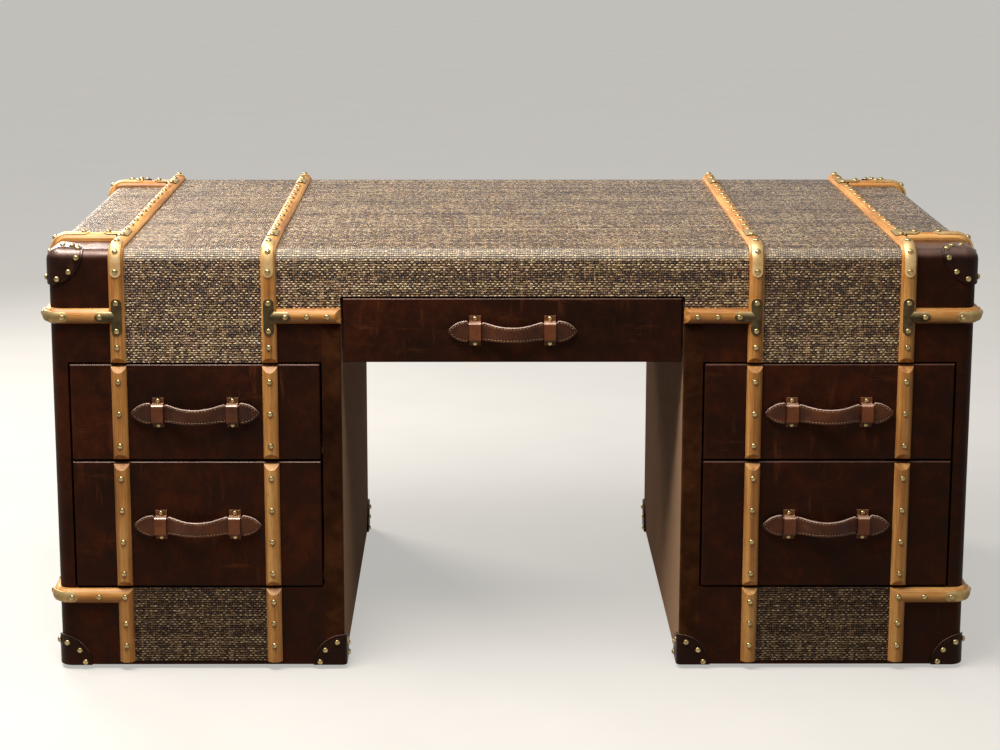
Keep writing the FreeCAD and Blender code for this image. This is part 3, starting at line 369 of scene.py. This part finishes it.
# Lighter, browner copy of the hide for the knee-hole sides: painted bounce light.
KNEE_HIDE_PAINTED_BOUNCE = hide("knee_hide_painted_bounce", rgb(28, 13, 6), rgb(56, 29, 14), rgb(92, 54, 28), rgb(98, 64, 50), 0.62, 0.06,
                 bloom=0.5)
TOP_CAP = hide("top_cap_hide", rgb(22, 10, 7), rgb(40, 19, 12), rgb(68, 36, 23), rgb(92, 62, 52), 0.44, 0.4,
               ((SIDE,), HALF_DEPTH, TOP, (58.5 * MM,)))
FOOT_CAP = hide("foot_cap_hide", rgb(20, 9, 5), rgb(38, 18, 11), rgb(62, 32, 20), rgb(120, 92, 80), 0.4, 0.3,
                ((SIDE, KNEE), HALF_DEPTH, FLOOR_LINE, (52 * MM,)))
STRAP_HIDE = hide("handle_hide", rgb(36, 16, 8), rgb(66, 33, 18), rgb(104, 58, 31), rgb(170, 132, 112),
                  0.34, 0.8)
LOOP_HIDE = hide("loop_hide", rgb(68, 33, 17), rgb(106, 57, 31), rgb(140, 82, 48), rgb(216, 178, 148),
                 0.32, 0.9)
# Pale leather for the strap's rim: raw cut edge colour, partly a painted highlight on the rounded rim of the
# face.
CUT_EDGE_AND_HIGHLIGHT = hide("cut_edge_and_highlight", rgb(118, 92, 80), rgb(152, 124, 110), rgb(178, 150, 136), rgb(196, 170, 158),
                0.45, 0.4)
BEND_METAL = metal("strap_brass", rgb(194, 156, 104), rgb(230, 200, 148), 0.54)
# Corner and tee straps take their second pair of colours where they face up, as a painted highlight; the tee
# strap's dark base is painted shade in place of dark reflections on its upright faces.
CORNER_METAL = metal("corner_bronze", rgb(112, 92, 56), rgb(160, 134, 88), 0.46, 60.0,
                     (rgb(192, 160, 106), rgb(230, 202, 148)))
TEE_METAL = metal("strap_bronze", rgb(46, 38, 26), rgb(80, 67, 47), 0.44, 60.0,
                  (rgb(184, 154, 102), rgb(226, 198, 144)))
BRASS = metal("dome_brass", rgb(124, 104, 66), rgb(196, 174, 124), 0.24, 160.0)
UPRIGHT_WOOD = wood("wood_upright", "z")
LONG_WOOD = wood("wood_long", "z", "y", ("Z", TOP + 3 * MM))
BELT_WOOD = wood("wood_belt", "x", "y", ("X", SIDE - 2 * MM))
END_WOOD = wood("wood_end", "x", "z", ("X", SIDE - 2 * MM))
BOARD = plain_wood()
MATTING = woven()
THREAD = thread()
GLIDE = hide("glide", rgb(14, 13, 12), rgb(22, 20, 19), rgb(34, 31, 29), rgb(40, 38, 36), 0.6)


def finish_for(node):
    """Material of a CAD node, by its name."""
    rules = [
        ("top_corner_caps", TOP_CAP), ("foot_corner_caps", FOOT_CAP), ("tee_straps", TEE_METAL),
        ("corner_straps", CORNER_METAL), ("_straps", BEND_METAL), ("loops", LOOP_HIDE),
        ("inner_panel", KNEE_HIDE_PAINTED_BOUNCE), ("handle_strap", STRAP_HIDE), ("drawer_battens", UPRIGHT_WOOD),
        ("rear_battens", UPRIGHT_WOOD), ("plinth_battens", UPRIGHT_WOOD), ("end_battens", END_WOOD),
        ("_batten", LONG_WOOD), ("belts", BELT_WOOD), ("drawer_box", BOARD), ("runners", BOARD),
        ("base_boards", BOARD), ("glides", GLIDE), ("matting", MATTING),
    ]
    return next((material for part, material in rules if part in node), HIDE)


for name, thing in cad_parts.items():
    thing.data.materials.clear()
    thing.data.materials.append(finish_for(name))


# Mesh helpers
def make_object(name, mesh, body, slot, *materials):
    """Object from a bmesh, riding on a body."""
    data = bpy.data.meshes.new(name)
    mesh.to_mesh(data)
    mesh.free()
    for material in materials:
        data.materials.append(material)
    thing = bpy.data.objects.new(name, data)
    bpy.context.scene.collection.objects.link(thing)
    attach(thing, body)
    return thing


def arc(centre, radius, start, stop, steps=8):
    """Points of an arc, angles in degrees."""
    angles = [math.radians(start + (stop - start) * i / steps) for i in range(steps + 1)]
    return [(centre[0] + radius * math.cos(a), centre[1] + radius * math.sin(a)) for a in angles]


# Matting
WEAVE_START = 4.0


def over_the_top(front_hem, back_hem, lift):
    """Line up the front, over the top and down the back, as (y, z)."""
    line = [(FRONT - lift, front_hem)]
    line += arc((FRONT + EDGE, TOP - EDGE), EDGE + lift, 180, 90)
    line += arc((BACK - EDGE, TOP - EDGE), EDGE + lift, 90, 0)
    return line + [(BACK + lift, back_hem)]


def over_the_end(hem, lift):
    """Line over the end of the top and down the side, as (x, z), for the left-hand end."""
    line = [(-OUTER - HALF, TOP + lift)]
    line += arc((-SIDE + EDGE, TOP - EDGE), EDGE + lift, 90, 180)
    return line + [(-SIDE - lift, hem)]


def cloth(name, node, columns, line, seat, place, skip=None, turned=False):
    """Stretched matting: a grid over columns and a line, its rim turned down to what it lies on."""
    steps = [0.0]
    for before, after in zip(line, line[1:]):
        steps.append(steps[-1] + math.dist(before, after))
    mesh = bmesh.new()
    sheet = mesh.loops.layers.uv.new("weave")
    width = [abs(c - columns[0]) for c in columns]
    rim = SKIN - GAP
    us = [width[0] - rim, *width, width[-1] + rim]
    vs = [steps[0] - rim, *steps, steps[-1] + rim]
    grid = []
    for i in range(len(us)):
        edge_u = i in (0, len(us) - 1)
        column = columns[min(max(i - 1, 0), len(columns) - 1)]
        row = []
        for j in range(len(vs)):
            edge = edge_u or j in (0, len(vs) - 1)
            index = min(max(j - 1, 0), len(line) - 1)
            row.append(mesh.verts.new(place(column, (seat if edge else line)[index])))
        grid.append(row)
    area = 0.0
    for i in range(len(us) - 1):
        for j in range(len(vs) - 1):
            if skip and skip(i, j):
                continue
            corners = [(i, j), (i + 1, j), (i + 1, j + 1), (i, j + 1)]
            face = mesh.faces.new([grid[a][b] for a, b in corners])
            face.smooth = True
            for loop, (a, b) in zip(face.loops, corners):
                spot = (us[a] + WEAVE_START, vs[b] + WEAVE_START)
                loop[sheet].uv = spot[::-1] if turned else spot
            area += face.calc_area()
    bmesh.ops.recalc_face_normals(mesh, faces=mesh.faces[:])
    loose = [v for v in mesh.verts if not v.link_faces]
    bmesh.ops.delete(mesh, geom=loose, context="VERTS")
    thing = make_object(name, mesh, "carcass", "matting", MATTING)
    thing.data.set_sharp_from_angle(angle=math.radians(50))
    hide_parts(node)


def spread(low, high, count):
    """Evenly spaced values with both ends."""
    return [low + (high - low) * i / count for i in range(count + 1)]


def make_matting():
    """Every field of matting, in place of its plain solid."""
    belt_top = BELT_HIGH.z

    def across(x, point):
        return (x, *point)

    for sign, side in ((-1, "left"), (1, "right")):
        edges = sorted((sign * (OUTER - HALF - GAP), sign * (INNER + HALF + GAP)))
        line, seat = (over_the_top(RAIL, RAIL, lift) for lift in (SKIN, GAP))
        cloth(f"{side}_field", "side_mattings", spread(*edges, 6), line, seat, across)

        def along(y, point, sign=sign):
            return (-sign * point[0], y, point[1])

        margin = END_INSET + HALF + GAP
        line, seat = (over_the_end(belt_top, lift) for lift in (SKIN, GAP))
        columns = spread(FRONT + margin, BACK - margin, 8)
        cloth(f"{side}_end_field", "end_mattings", columns, line, seat, along, turned=True)
        for face, y, out in (("front", FRONT, -1), ("back", BACK, 1)):

            def flat(x, point, y=y, out=out):
                return (x, y + out * point[0], point[1])

            levels = spread(PLINTH_LOW.z, PLINTH_HIGH.z, 4)
            line, seat = ([(lift, z) for z in levels] for lift in (SKIN, GAP))
            name = f"{side}_{face}_plinth_field"
            cloth(name, "plinth_mattings", spread(*edges, 6), line, seat, flat)
    edge = INNER - HALF - GAP
    columns = [-edge, *spread(-KNEE - 1 * MM, KNEE + 1 * MM, 12), edge]
    line, seat = (over_the_top(CENTRE_RAIL, belt_top, lift) for lift in (SKIN, GAP))
    low = [(FRONT - SKIN, belt_top + GAP), (FRONT - GAP, belt_top + GAP)]
    line.insert(0, low[0])
    seat.insert(0, low[1])

    def notch(i, j):
        return 2 <= i <= len(columns) - 2 and j <= 1

    cloth("centre_field", "centre_matting", columns, line, seat, across, notch)


# Nails and rivets
NAIL, NAIL_RISE = 5.2 * MM, 4.3 * MM
RIVET, RIVET_RISE = 4.7 * MM, 5.2 * MM
ON_CROWN, ON_FLAT = 0.9 * MM, 0.3 * MM
DOME_SIDES = 14
DOME_PROFILE = [(1.0, 0.0), (1.0, 0.22), (0.93, 0.50), (0.76, 0.76), (0.46, 0.94)]
STRAP_LEG = 36 * MM
TEE_ARM, TEE_STEM = 24.7 * MM, 29 * MM
CORNER_ARM = 26 * MM
TOP_CAP_ROW, FOOT_CAP_ROW = 53.5 * MM, 44.5 * MM
TOP_CAP_ANGLES, FOOT_CAP_ANGLES = (14, 45, 71), (8, 39, 73)
CAP_RIM_PLACE, CAP_RIM_ANGLE = 53 * MM, 27
CAP_TOP_PLACES = ((42, 19), (24, 26))
BEND_ANGLES = (57, 8)
ABOVE_RAIL, ABOVE_BELT = 29 * MM, 22 * MM
PLINTH_LEVELS, INNER_PLINTH_LEVEL = (48 * MM, 89 * MM), 129 * MM
LOW_BELT_NAIL, END_STRAP_NAIL = 46 * MM, 48 * MM
INNER_BELT_NAILS = (-356 * MM, -321 * MM)

# Rows of nails as start, step and count, in millimetres
TOP_ROW = (175, 50, 5)
SIDE_ROW = (87, 57, 6)
BACK_ROW = (183, 58, 7)
BACK_BELT_ROW = (29, 58, 5)
DRAWER_ROWS = {"upper": (-57.5, 0, 57.5), "lower": (-87, -29, 29, 87)}


def nail_row(start, step, count):
    """Places of a row of nails, in metres."""
    return [(start + step * i) * MM for i in range(count)]


def dome(mesh, place, normal, radius, rise, sink):
    """Domed head with a soft rim, set on a surface."""
    normal = Vector(normal).normalized()
    side = normal.orthogonal().normalized()
    other = normal.cross(side)
    base = Vector(place) - normal * sink
    rings = []
    for width, height in DOME_PROFILE:
        ring = []
        for i in range(DOME_SIDES):
            angle = 2 * math.pi * i / DOME_SIDES
            out = side * math.cos(angle) + other * math.sin(angle)
            ring.append(mesh.verts.new(base + out * radius * width + normal * rise * height))
        rings.append(ring)
    tip = mesh.verts.new(base + normal * rise)
    faces = []
    for low, high in zip(rings, rings[1:]):
        for i in range(DOME_SIDES):
            j = (i + 1) % DOME_SIDES
            faces.append(mesh.faces.new((low[i], low[j], high[j], high[i])))
    last = rings[-1]
    faces += [mesh.faces.new((last[i], last[(i + 1) % DOME_SIDES], tip)) for i in range(DOME_SIDES)]
    for face in faces:
        face.smooth = True


def carcass_nails():
    """Nails of the front left quarter as (place, normal, sink); the other quarters mirror them."""
    front, up, left = (0, -1, 0), (0, 0, 1), (-1, 0, 0)
    slope = (-math.sqrt(0.5), 0, math.sqrt(0.5))
    found = []

    def add(place, normal, sink=ON_CROWN):
        found.append((place, normal, sink))

    for x in (-OUTER, -INNER):
        add((x, FRONT - STRAP, TOP - STRAP_LEG), front)
        for degrees in BEND_ANGLES:
            tilt = math.radians(degrees)
            normal = (0, -math.sin(tilt), math.cos(tilt))
            around = EDGE + STRAP
            add((x, FRONT + EDGE + around * normal[1], TOP - EDGE + around * normal[2]), normal)
        for shift in (-TEE_ARM, TEE_ARM):
            add((x, FRONT - STRAP, BELT + shift), front)
            add((x, END + shift, TOP + STRAP), up)
        add((x, FRONT - CROWN, RAIL + ABOVE_RAIL), front)
        for y in nail_row(*TOP_ROW):
            add((x, FRONT + y, TOP + CROWN), up)
        for z in PLINTH_LEVELS:
            add((x, FRONT - CROWN, z), front)
    add((-INNER, FRONT - CROWN, INNER_PLINTH_LEVEL), front)
    add((-OUTER, FRONT - CROWN, LOW_BELT), front)
    for level in (BELT, LOW_BELT):
        add((-SIDE + CORNER_ARM, FRONT - STRAP, level), front)
        add((-SIDE - STRAP, FRONT + CORNER_ARM, level), left)
        for y in nail_row(*SIDE_ROW):
            add((-SIDE - CROWN, FRONT + y, level), left)
    for x in (-OUTER - TEE_STEM, -INNER + TEE_STEM):
        add((x, FRONT - STRAP, BELT), front)
    add((-OUTER - LOW_BELT_NAIL, FRONT - CROWN, LOW_BELT), front)
    for x in INNER_BELT_NAILS:
        add((x, FRONT - CROWN, BELT), front)
    add((-OUTER - TEE_STEM, END, TOP + STRAP), up)
    add((-SIDE + END_STRAP_NAIL, END, TOP + STRAP), up)
    around = (EDGE + STRAP) * math.sqrt(0.5)
    add((-SIDE + EDGE - around, END, TOP - EDGE + around), slope)
    add((-SIDE - STRAP, END, TOP - STRAP_LEG), left)
    add((-SIDE - CROWN, END, BELT_HIGH.z + ABOVE_BELT), left)
    for degrees in TOP_CAP_ANGLES:
        a, b = (TOP_CAP_ROW * turn(math.radians(degrees)) for turn in (math.cos, math.sin))
        add((-SIDE + a, FRONT - CAP, TOP - b), front, ON_FLAT)
        add((-SIDE - CAP, FRONT + a, TOP - b), left, ON_FLAT)
    tilt = math.radians(CAP_RIM_ANGLE)
    rim = (0, -math.sin(tilt), math.cos(tilt))
    around = EDGE + CAP
    place = (-SIDE + CAP_RIM_PLACE, FRONT + EDGE + around * rim[1], TOP - EDGE + around * rim[2])
    add(place, rim, ON_FLAT)
    for a, b in CAP_TOP_PLACES:
        add((-SIDE + a * MM, FRONT + b * MM, TOP + CAP), up, ON_FLAT)
    for degrees in FOOT_CAP_ANGLES:
        a, b = (FOOT_CAP_ROW * turn(math.radians(degrees)) for turn in (math.cos, math.sin))
        add((-SIDE + a, FRONT - CAP, FLOOR_LINE + b), front, ON_FLAT)
        add((-SIDE - CAP, FRONT + a, FLOOR_LINE + b), left, ON_FLAT)
        add((-KNEE - a, FRONT - CAP, FLOOR_LINE + b), front, ON_FLAT)
        add((-KNEE + CAP, FRONT + a, FLOOR_LINE + b), (1, 0, 0), ON_FLAT)
    return found


def make_nails():
    """Dome nails on the carcass and on the drawer battens."""
    mesh = bmesh.new()
    for (x, y, z), (nx, ny, nz), sink in carcass_nails():
        for sx in (1, -1):
            for sy in (1, -1):
                place = (sx * x, y if sy > 0 else 2 * MIDDLE - y, z)
                dome(mesh, place, (sx * nx, sy * ny, nz), NAIL, NAIL_RISE, sink)
    back = BACK + CROWN
    places = [(x, back, z) for x in (OUTER, INNER) for z in nail_row(*BACK_ROW)]
    places += [(x, back, BELT) for x in nail_row(*BACK_BELT_ROW)]
    for x, y, z in places:
        for sign in (-1, 1):
            dome(mesh, (sign * x, y, z), (0, 1, 0), NAIL, NAIL_RISE, ON_CROWN)
    make_object("carcass_nails", mesh, "carcass", "bronze", BRASS)
    for level, spacing in DRAWER_ROWS.items():
        for side in ("left", "right"):
            low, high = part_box(f"{level}_{side}_drawer_front")
            middle = (low.z + high.z) / 2
            mesh = bmesh.new()
            for x in (OUTER, INNER):
                for shift in spacing:
                    sign = -1 if side == "left" else 1
                    place = (sign * x, FACE - CROWN, middle + shift * MM)
                    dome(mesh, place, (0, -1, 0), NAIL, NAIL_RISE, ON_CROWN)
            make_object(f"{level}_{side}_drawer_nails", mesh, f"{level}_{side}_drawer", "bronze", BRASS)


# Handles
LEATHER = 4.5
STANDOFF, REACH = 8.0, 27.0
LENGTH, LOOP_SPACING, LOOP_WIDTH = 225.0, 130.0, 20.0
BOW_START = (LOOP_SPACING - LOOP_WIDTH) / 2
RISE = REACH - LEATHER / 2 - STANDOFF
TURN = 2 * math.atan(RISE / BOW_START)
BEND = BOW_START / math.sin(TURN) / 3
SWEEP = 2 * BEND
NECK_OUT, NECK_IN, SLOPE = 76.0, 54.0, 3.0
LEAF, NECK, BAR, DIP = 19.0, 14.2, 16.5, 6.3
STRAP_STATIONS, END_TRIM = 150, 0.3
FULL_HALF, THINNEST = 9.0, 0.45
PADDED = [(0.0, 0.0), (0.3, 0.66), (1.1, 1.0), (2.4, 1.0), (3.3, 0.78), (4.4, 1.02), (8.0, 1.14)]
UNDERSIDE = [(1, 0.3, 0.66), (1, 1.1, 1.0), (-1, 1.1, 1.0), (-1, 0.3, 0.66)]
CHANNEL = 0.86
STITCH_INSET, STITCH_PITCH, STITCH_START = 3.3, 5.2, 5.2
STITCH_HALF, STITCH_RADIUS = 1.75, 0.55
STITCH_SHAPE = [(-1.0, 0.25), (-0.6, 0.85), (0.0, 1.0), (0.6, 0.85), (1.0, 0.25)]
RIVET_ROW, LOOP_FACE = 21.9, 2.2 * MM


def bow(x):
    """Distance of the strap's middle from the drawer face, in millimetres."""
    x = abs(x)
    if x >= BOW_START:
        return STANDOFF
    if x >= BOW_START - BEND * math.sin(TURN):
        return STANDOFF + BEND - math.sqrt(BEND ** 2 - (BOW_START - x) ** 2)
    return STANDOFF + RISE - SWEEP + math.sqrt(SWEEP ** 2 - x ** 2)


def strap_edges(x):
    """Lower and upper edge of the strap, in millimetres from its middle line."""
    x = abs(x)
    leaf_x, bar_x = NECK_OUT + SLOPE, NECK_IN - SLOPE
    if x >= leaf_x:
        tip = LENGTH / 2 - leaf_x
        radius = (tip ** 2 + LEAF ** 2) / 2 / LEAF
        half = LEAF - radius + math.sqrt(max(radius ** 2 - (x - leaf_x) ** 2, 0))
        return -half, half
    if x >= NECK_OUT:
        half = NECK + (LEAF - NECK) * (x - NECK_OUT) / SLOPE
        return -half, half
    if x >= NECK_IN:
        return -NECK, NECK
    if x >= bar_x:
        half = BAR + (NECK - BAR) * (x - bar_x) / SLOPE
        return -half, half
    radius = (bar_x ** 2 + DIP ** 2) / 2 / DIP
    return -BAR, BAR - DIP + radius - math.sqrt(radius ** 2 - x ** 2)


def strap_frame(x):
    """Middle of the strap in plan and its outward normal, as (x, outward)."""
    slope = (bow(x + 0.05) - bow(x - 0.05)) / 0.1
    scale = math.hypot(slope, 1)
    return (x, bow(x)), (-slope / scale, 1 / scale)


def handle_strap(name, body, node, centre):
    """Bowed strap of two leather layers: padded face, stitching channel and rounded cut edges."""
    span = LENGTH - 2 * END_TRIM
    stations = [-LENGTH / 2 + END_TRIM + span * i / STRAP_STATIONS for i in range(STRAP_STATIONS + 1)]
    mesh = bmesh.new()
    rings = []
    for x in stations:
        low, high = strap_edges(x)
        half, middle = (high - low) / 2, (high + low) / 2
        (px, out), (nx, ny) = strap_frame(x)
        squeeze = min(1.0, half / FULL_HALF)
        front = [(middle + (half - inset * squeeze) * side, lift)
                 for side, order in ((-1, PADDED), (1, PADDED[::-1])) for inset, lift in order]
        back = [(middle + (half - inset * squeeze) * side, -lift) for side, inset, lift in UNDERSIDE]
        ring = []
        for z, lift in front + back:
            away = lift * LEATHER / 2 * max(squeeze, THINNEST)
            point = (centre.x + (px + nx * away) * MM, FACE - (out + ny * away) * MM, centre.z + z * MM)
            ring.append(mesh.verts.new(point))
        rings.append(ring)
    count = len(rings[0])
    # The cut edges and the rounded rim of the padded face take the pale rim leather: partly the raw edge,
    # partly a painted highlight.
    rim = {0, 1, 2, 11, 12, 13, 14, count - 1}
    for before, after in zip(rings, rings[1:]):
        for i in range(count):
            j = (i + 1) % count
            face = mesh.faces.new((before[i], before[j], after[j], after[i]))
            face.smooth = True
            face.material_index = 1 if i in rim and j in rim | {0} else 0
    for ring in (rings[0], rings[-1]):
        mesh.faces.new(ring).material_index = 1
    bmesh.ops.recalc_face_normals(mesh, faces=mesh.faces[:])
    thing = make_object(name + "_strap_leather", mesh, body, "handle_hide", STRAP_HIDE, CUT_EDGE_AND_HIGHLIGHT)
    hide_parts(node)


def stitch_line():
    """Middle of each stitch on the strap's face as (x, z, direction), all round inside the edge."""
    loop = []
    xs = [-LENGTH / 2 + STITCH_START + (LENGTH - 2 * STITCH_START) * i / 400 for i in range(401)]
    for order, pick in ((xs, 1), (xs[::-1], 0)):
        for x in order:
            edge = strap_edges(x)[pick]
            slope = (strap_edges(x + 0.1)[pick] - strap_edges(x - 0.1)[pick]) / 0.2
            drop = STITCH_INSET * math.hypot(1, min(max(slope, -1.6), 1.6))
            loop.append((x, edge - drop if pick else edge + drop))
    found, travelled = [], 0.0
    for before, after in zip(loop, loop[1:] + loop[:1]):
        step = math.dist(before, after)
        travelled += step
        under_loop = NECK_IN - SLOPE < abs(after[0]) < NECK_OUT + SLOPE
        if travelled >= STITCH_PITCH and step > 0 and not under_loop:
            found.append((*after, ((after[0] - before[0]) / step, (after[1] - before[1]) / step)))
            travelled = 0.0
    return found


def handle_stitches(name, body, centre):
    """Raised stitches in the channel of the strap's face."""
    mesh = bmesh.new()
    for x, z, (dx, dz) in stitch_line():
        (px, away), (nx, ny) = strap_frame(x)
        low, high = strap_edges(x)
        seat = LEATHER / 2 * CHANNEL * max(min(1.0, (high - low) / (2 * FULL_HALF)), THINNEST)
        base = Vector((px + nx * seat, -(away + ny * seat), z))
        normal = Vector((nx, -ny, 0))
        along = Vector((dx * ny, dx * nx, dz)).normalized()
        side = normal.cross(along)
        rings = []
        for share, width in STITCH_SHAPE:
            spot = base + along * share * STITCH_HALF
            ring = []
            for k in range(6):
                angle = math.radians(60 * k)
                out = side * math.cos(angle) * STITCH_RADIUS + normal * math.sin(angle) * STITCH_RADIUS
                ring.append(mesh.verts.new((spot + out * width) * MM + centre))
            rings.append(ring)
        for first, second in zip(rings, rings[1:]):
            for i in range(6):
                mesh.faces.new((first[i], first[(i + 1) % 6], second[(i + 1) % 6], second[i])).smooth = True
        mesh.faces.new(rings[0])
        mesh.faces.new(rings[-1])
    bmesh.ops.recalc_face_normals(mesh, faces=mesh.faces[:])
    make_object(name + "_stitching", mesh, body, "handle_hide", THREAD)


def make_handles():
    """Leather, stitching and rivets of every handle."""
    for name in ("upper_left", "upper_right", "lower_left", "lower_right", "centre"):
        node = f"{name}_handle_strap"
        low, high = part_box(node)
        front_low, front_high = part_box(f"{name}_drawer_front")
        centre = Vector(((low.x + high.x) / 2, FACE, (front_low.z + front_high.z) / 2))
        handle_strap(name, f"{name}_handle", node, centre)
        handle_stitches(name, f"{name}_handle", centre)
        mesh = bmesh.new()
        for x in (-LOOP_SPACING / 2, LOOP_SPACING / 2):
            for z in (-RIVET_ROW, RIVET_ROW):
                place = (centre.x + x * MM, FACE - LOOP_FACE, centre.z + z * MM)
                dome(mesh, place, (0, -1, 0), RIVET, RIVET_RISE, ON_FLAT)
        make_object(f"{name}_loop_rivets", mesh, f"{name}_drawer", "bronze", BRASS)


# Stage
FLOOR_REACH = 40.0
WORLD_LIGHT, WORLD_SEEN = 0.18, 0.6
LENS, SENSOR = 75.64, 36
SHIFT = (0.0161, -0.14)
EYE = (-0.0566, -3.9628 + MIDDLE, 1.4336)
LOOK_DOWN, LOOK_ASIDE = 10.27, -0.00195
LAMPS = {
    "overhead": ((-1.0, -0.9, 2.5), (-0.3, -0.3, 0.7), (2.4, 0.5), 78, (1.0, 0.97, 0.94)),
    "ceiling": ((-0.5, -1.0, 2.9), (-0.5, -1.0, 0.0), (3.4, 2.8), 46, (1.0, 0.96, 0.92)),
    "window": ((-1.8, 2.0, 1.8), (-0.7, 0.0, 0.76), (1.2, 0.8), 60, (1.0, 0.97, 0.94)),
}


def area_light(name, place, target, size, power, colour):
    """Soft rectangular light aimed at a point."""
    data = bpy.data.lights.new(name, "AREA")
    data.shape = "RECTANGLE"
    data.size, data.size_y = size
    data.energy = power
    data.color = colour
    lamp = bpy.data.objects.new(name, data)
    lamp.location = place
    lamp.rotation_euler = (Vector(target) - Vector(place)).to_track_quat("-Z", "Y").to_euler()
    bpy.context.scene.collection.objects.link(lamp)


def make_stage():
    """Pale floor, soft studio light and the camera."""
    mesh = bmesh.new()
    corners = ((-1, -1), (1, -1), (1, 1), (-1, 1))
    mesh.faces.new([mesh.verts.new((x * FLOOR_REACH, y * FLOOR_REACH, 0.0)) for x, y in corners])
    data = bpy.data.meshes.new("floor")
    mesh.to_mesh(data)
    mesh.free()
    data.materials.append(studio_floor())
    floor = bpy.data.objects.new("floor", data)
    bpy.context.scene.collection.objects.link(floor)
    world = bpy.data.worlds.new("studio")
    world.use_nodes = True
    tree = world.node_tree
    sky = tree.nodes["Background"].inputs
    sky[0].default_value = PALE
    strength = tree.nodes.new("ShaderNodeMapRange")
    tree.links.new(seen_rays(tree), strength.inputs[0])
    strength.inputs[3].default_value, strength.inputs[4].default_value = WORLD_LIGHT, WORLD_SEEN
    tree.links.new(strength.outputs[0], sky[1])
    bpy.context.scene.world = world
    for name, settings in LAMPS.items():
        area_light(name, *settings)
    camera = bpy.data.cameras.new("camera")
    camera.sensor_width = SENSOR
    camera.lens = LENS
    camera.shift_x, camera.shift_y = SHIFT
    eye = bpy.data.objects.new("camera", camera)
    eye.location = EYE
    eye.rotation_euler = (math.radians(90 - LOOK_DOWN), 0, LOOK_ASIDE)
    bpy.context.scene.collection.objects.link(eye)
    bpy.context.scene.camera = eye
    bpy.context.scene.view_settings.view_transform = "Standard"


make_matting()
make_nails()
make_handles()
make_stage()
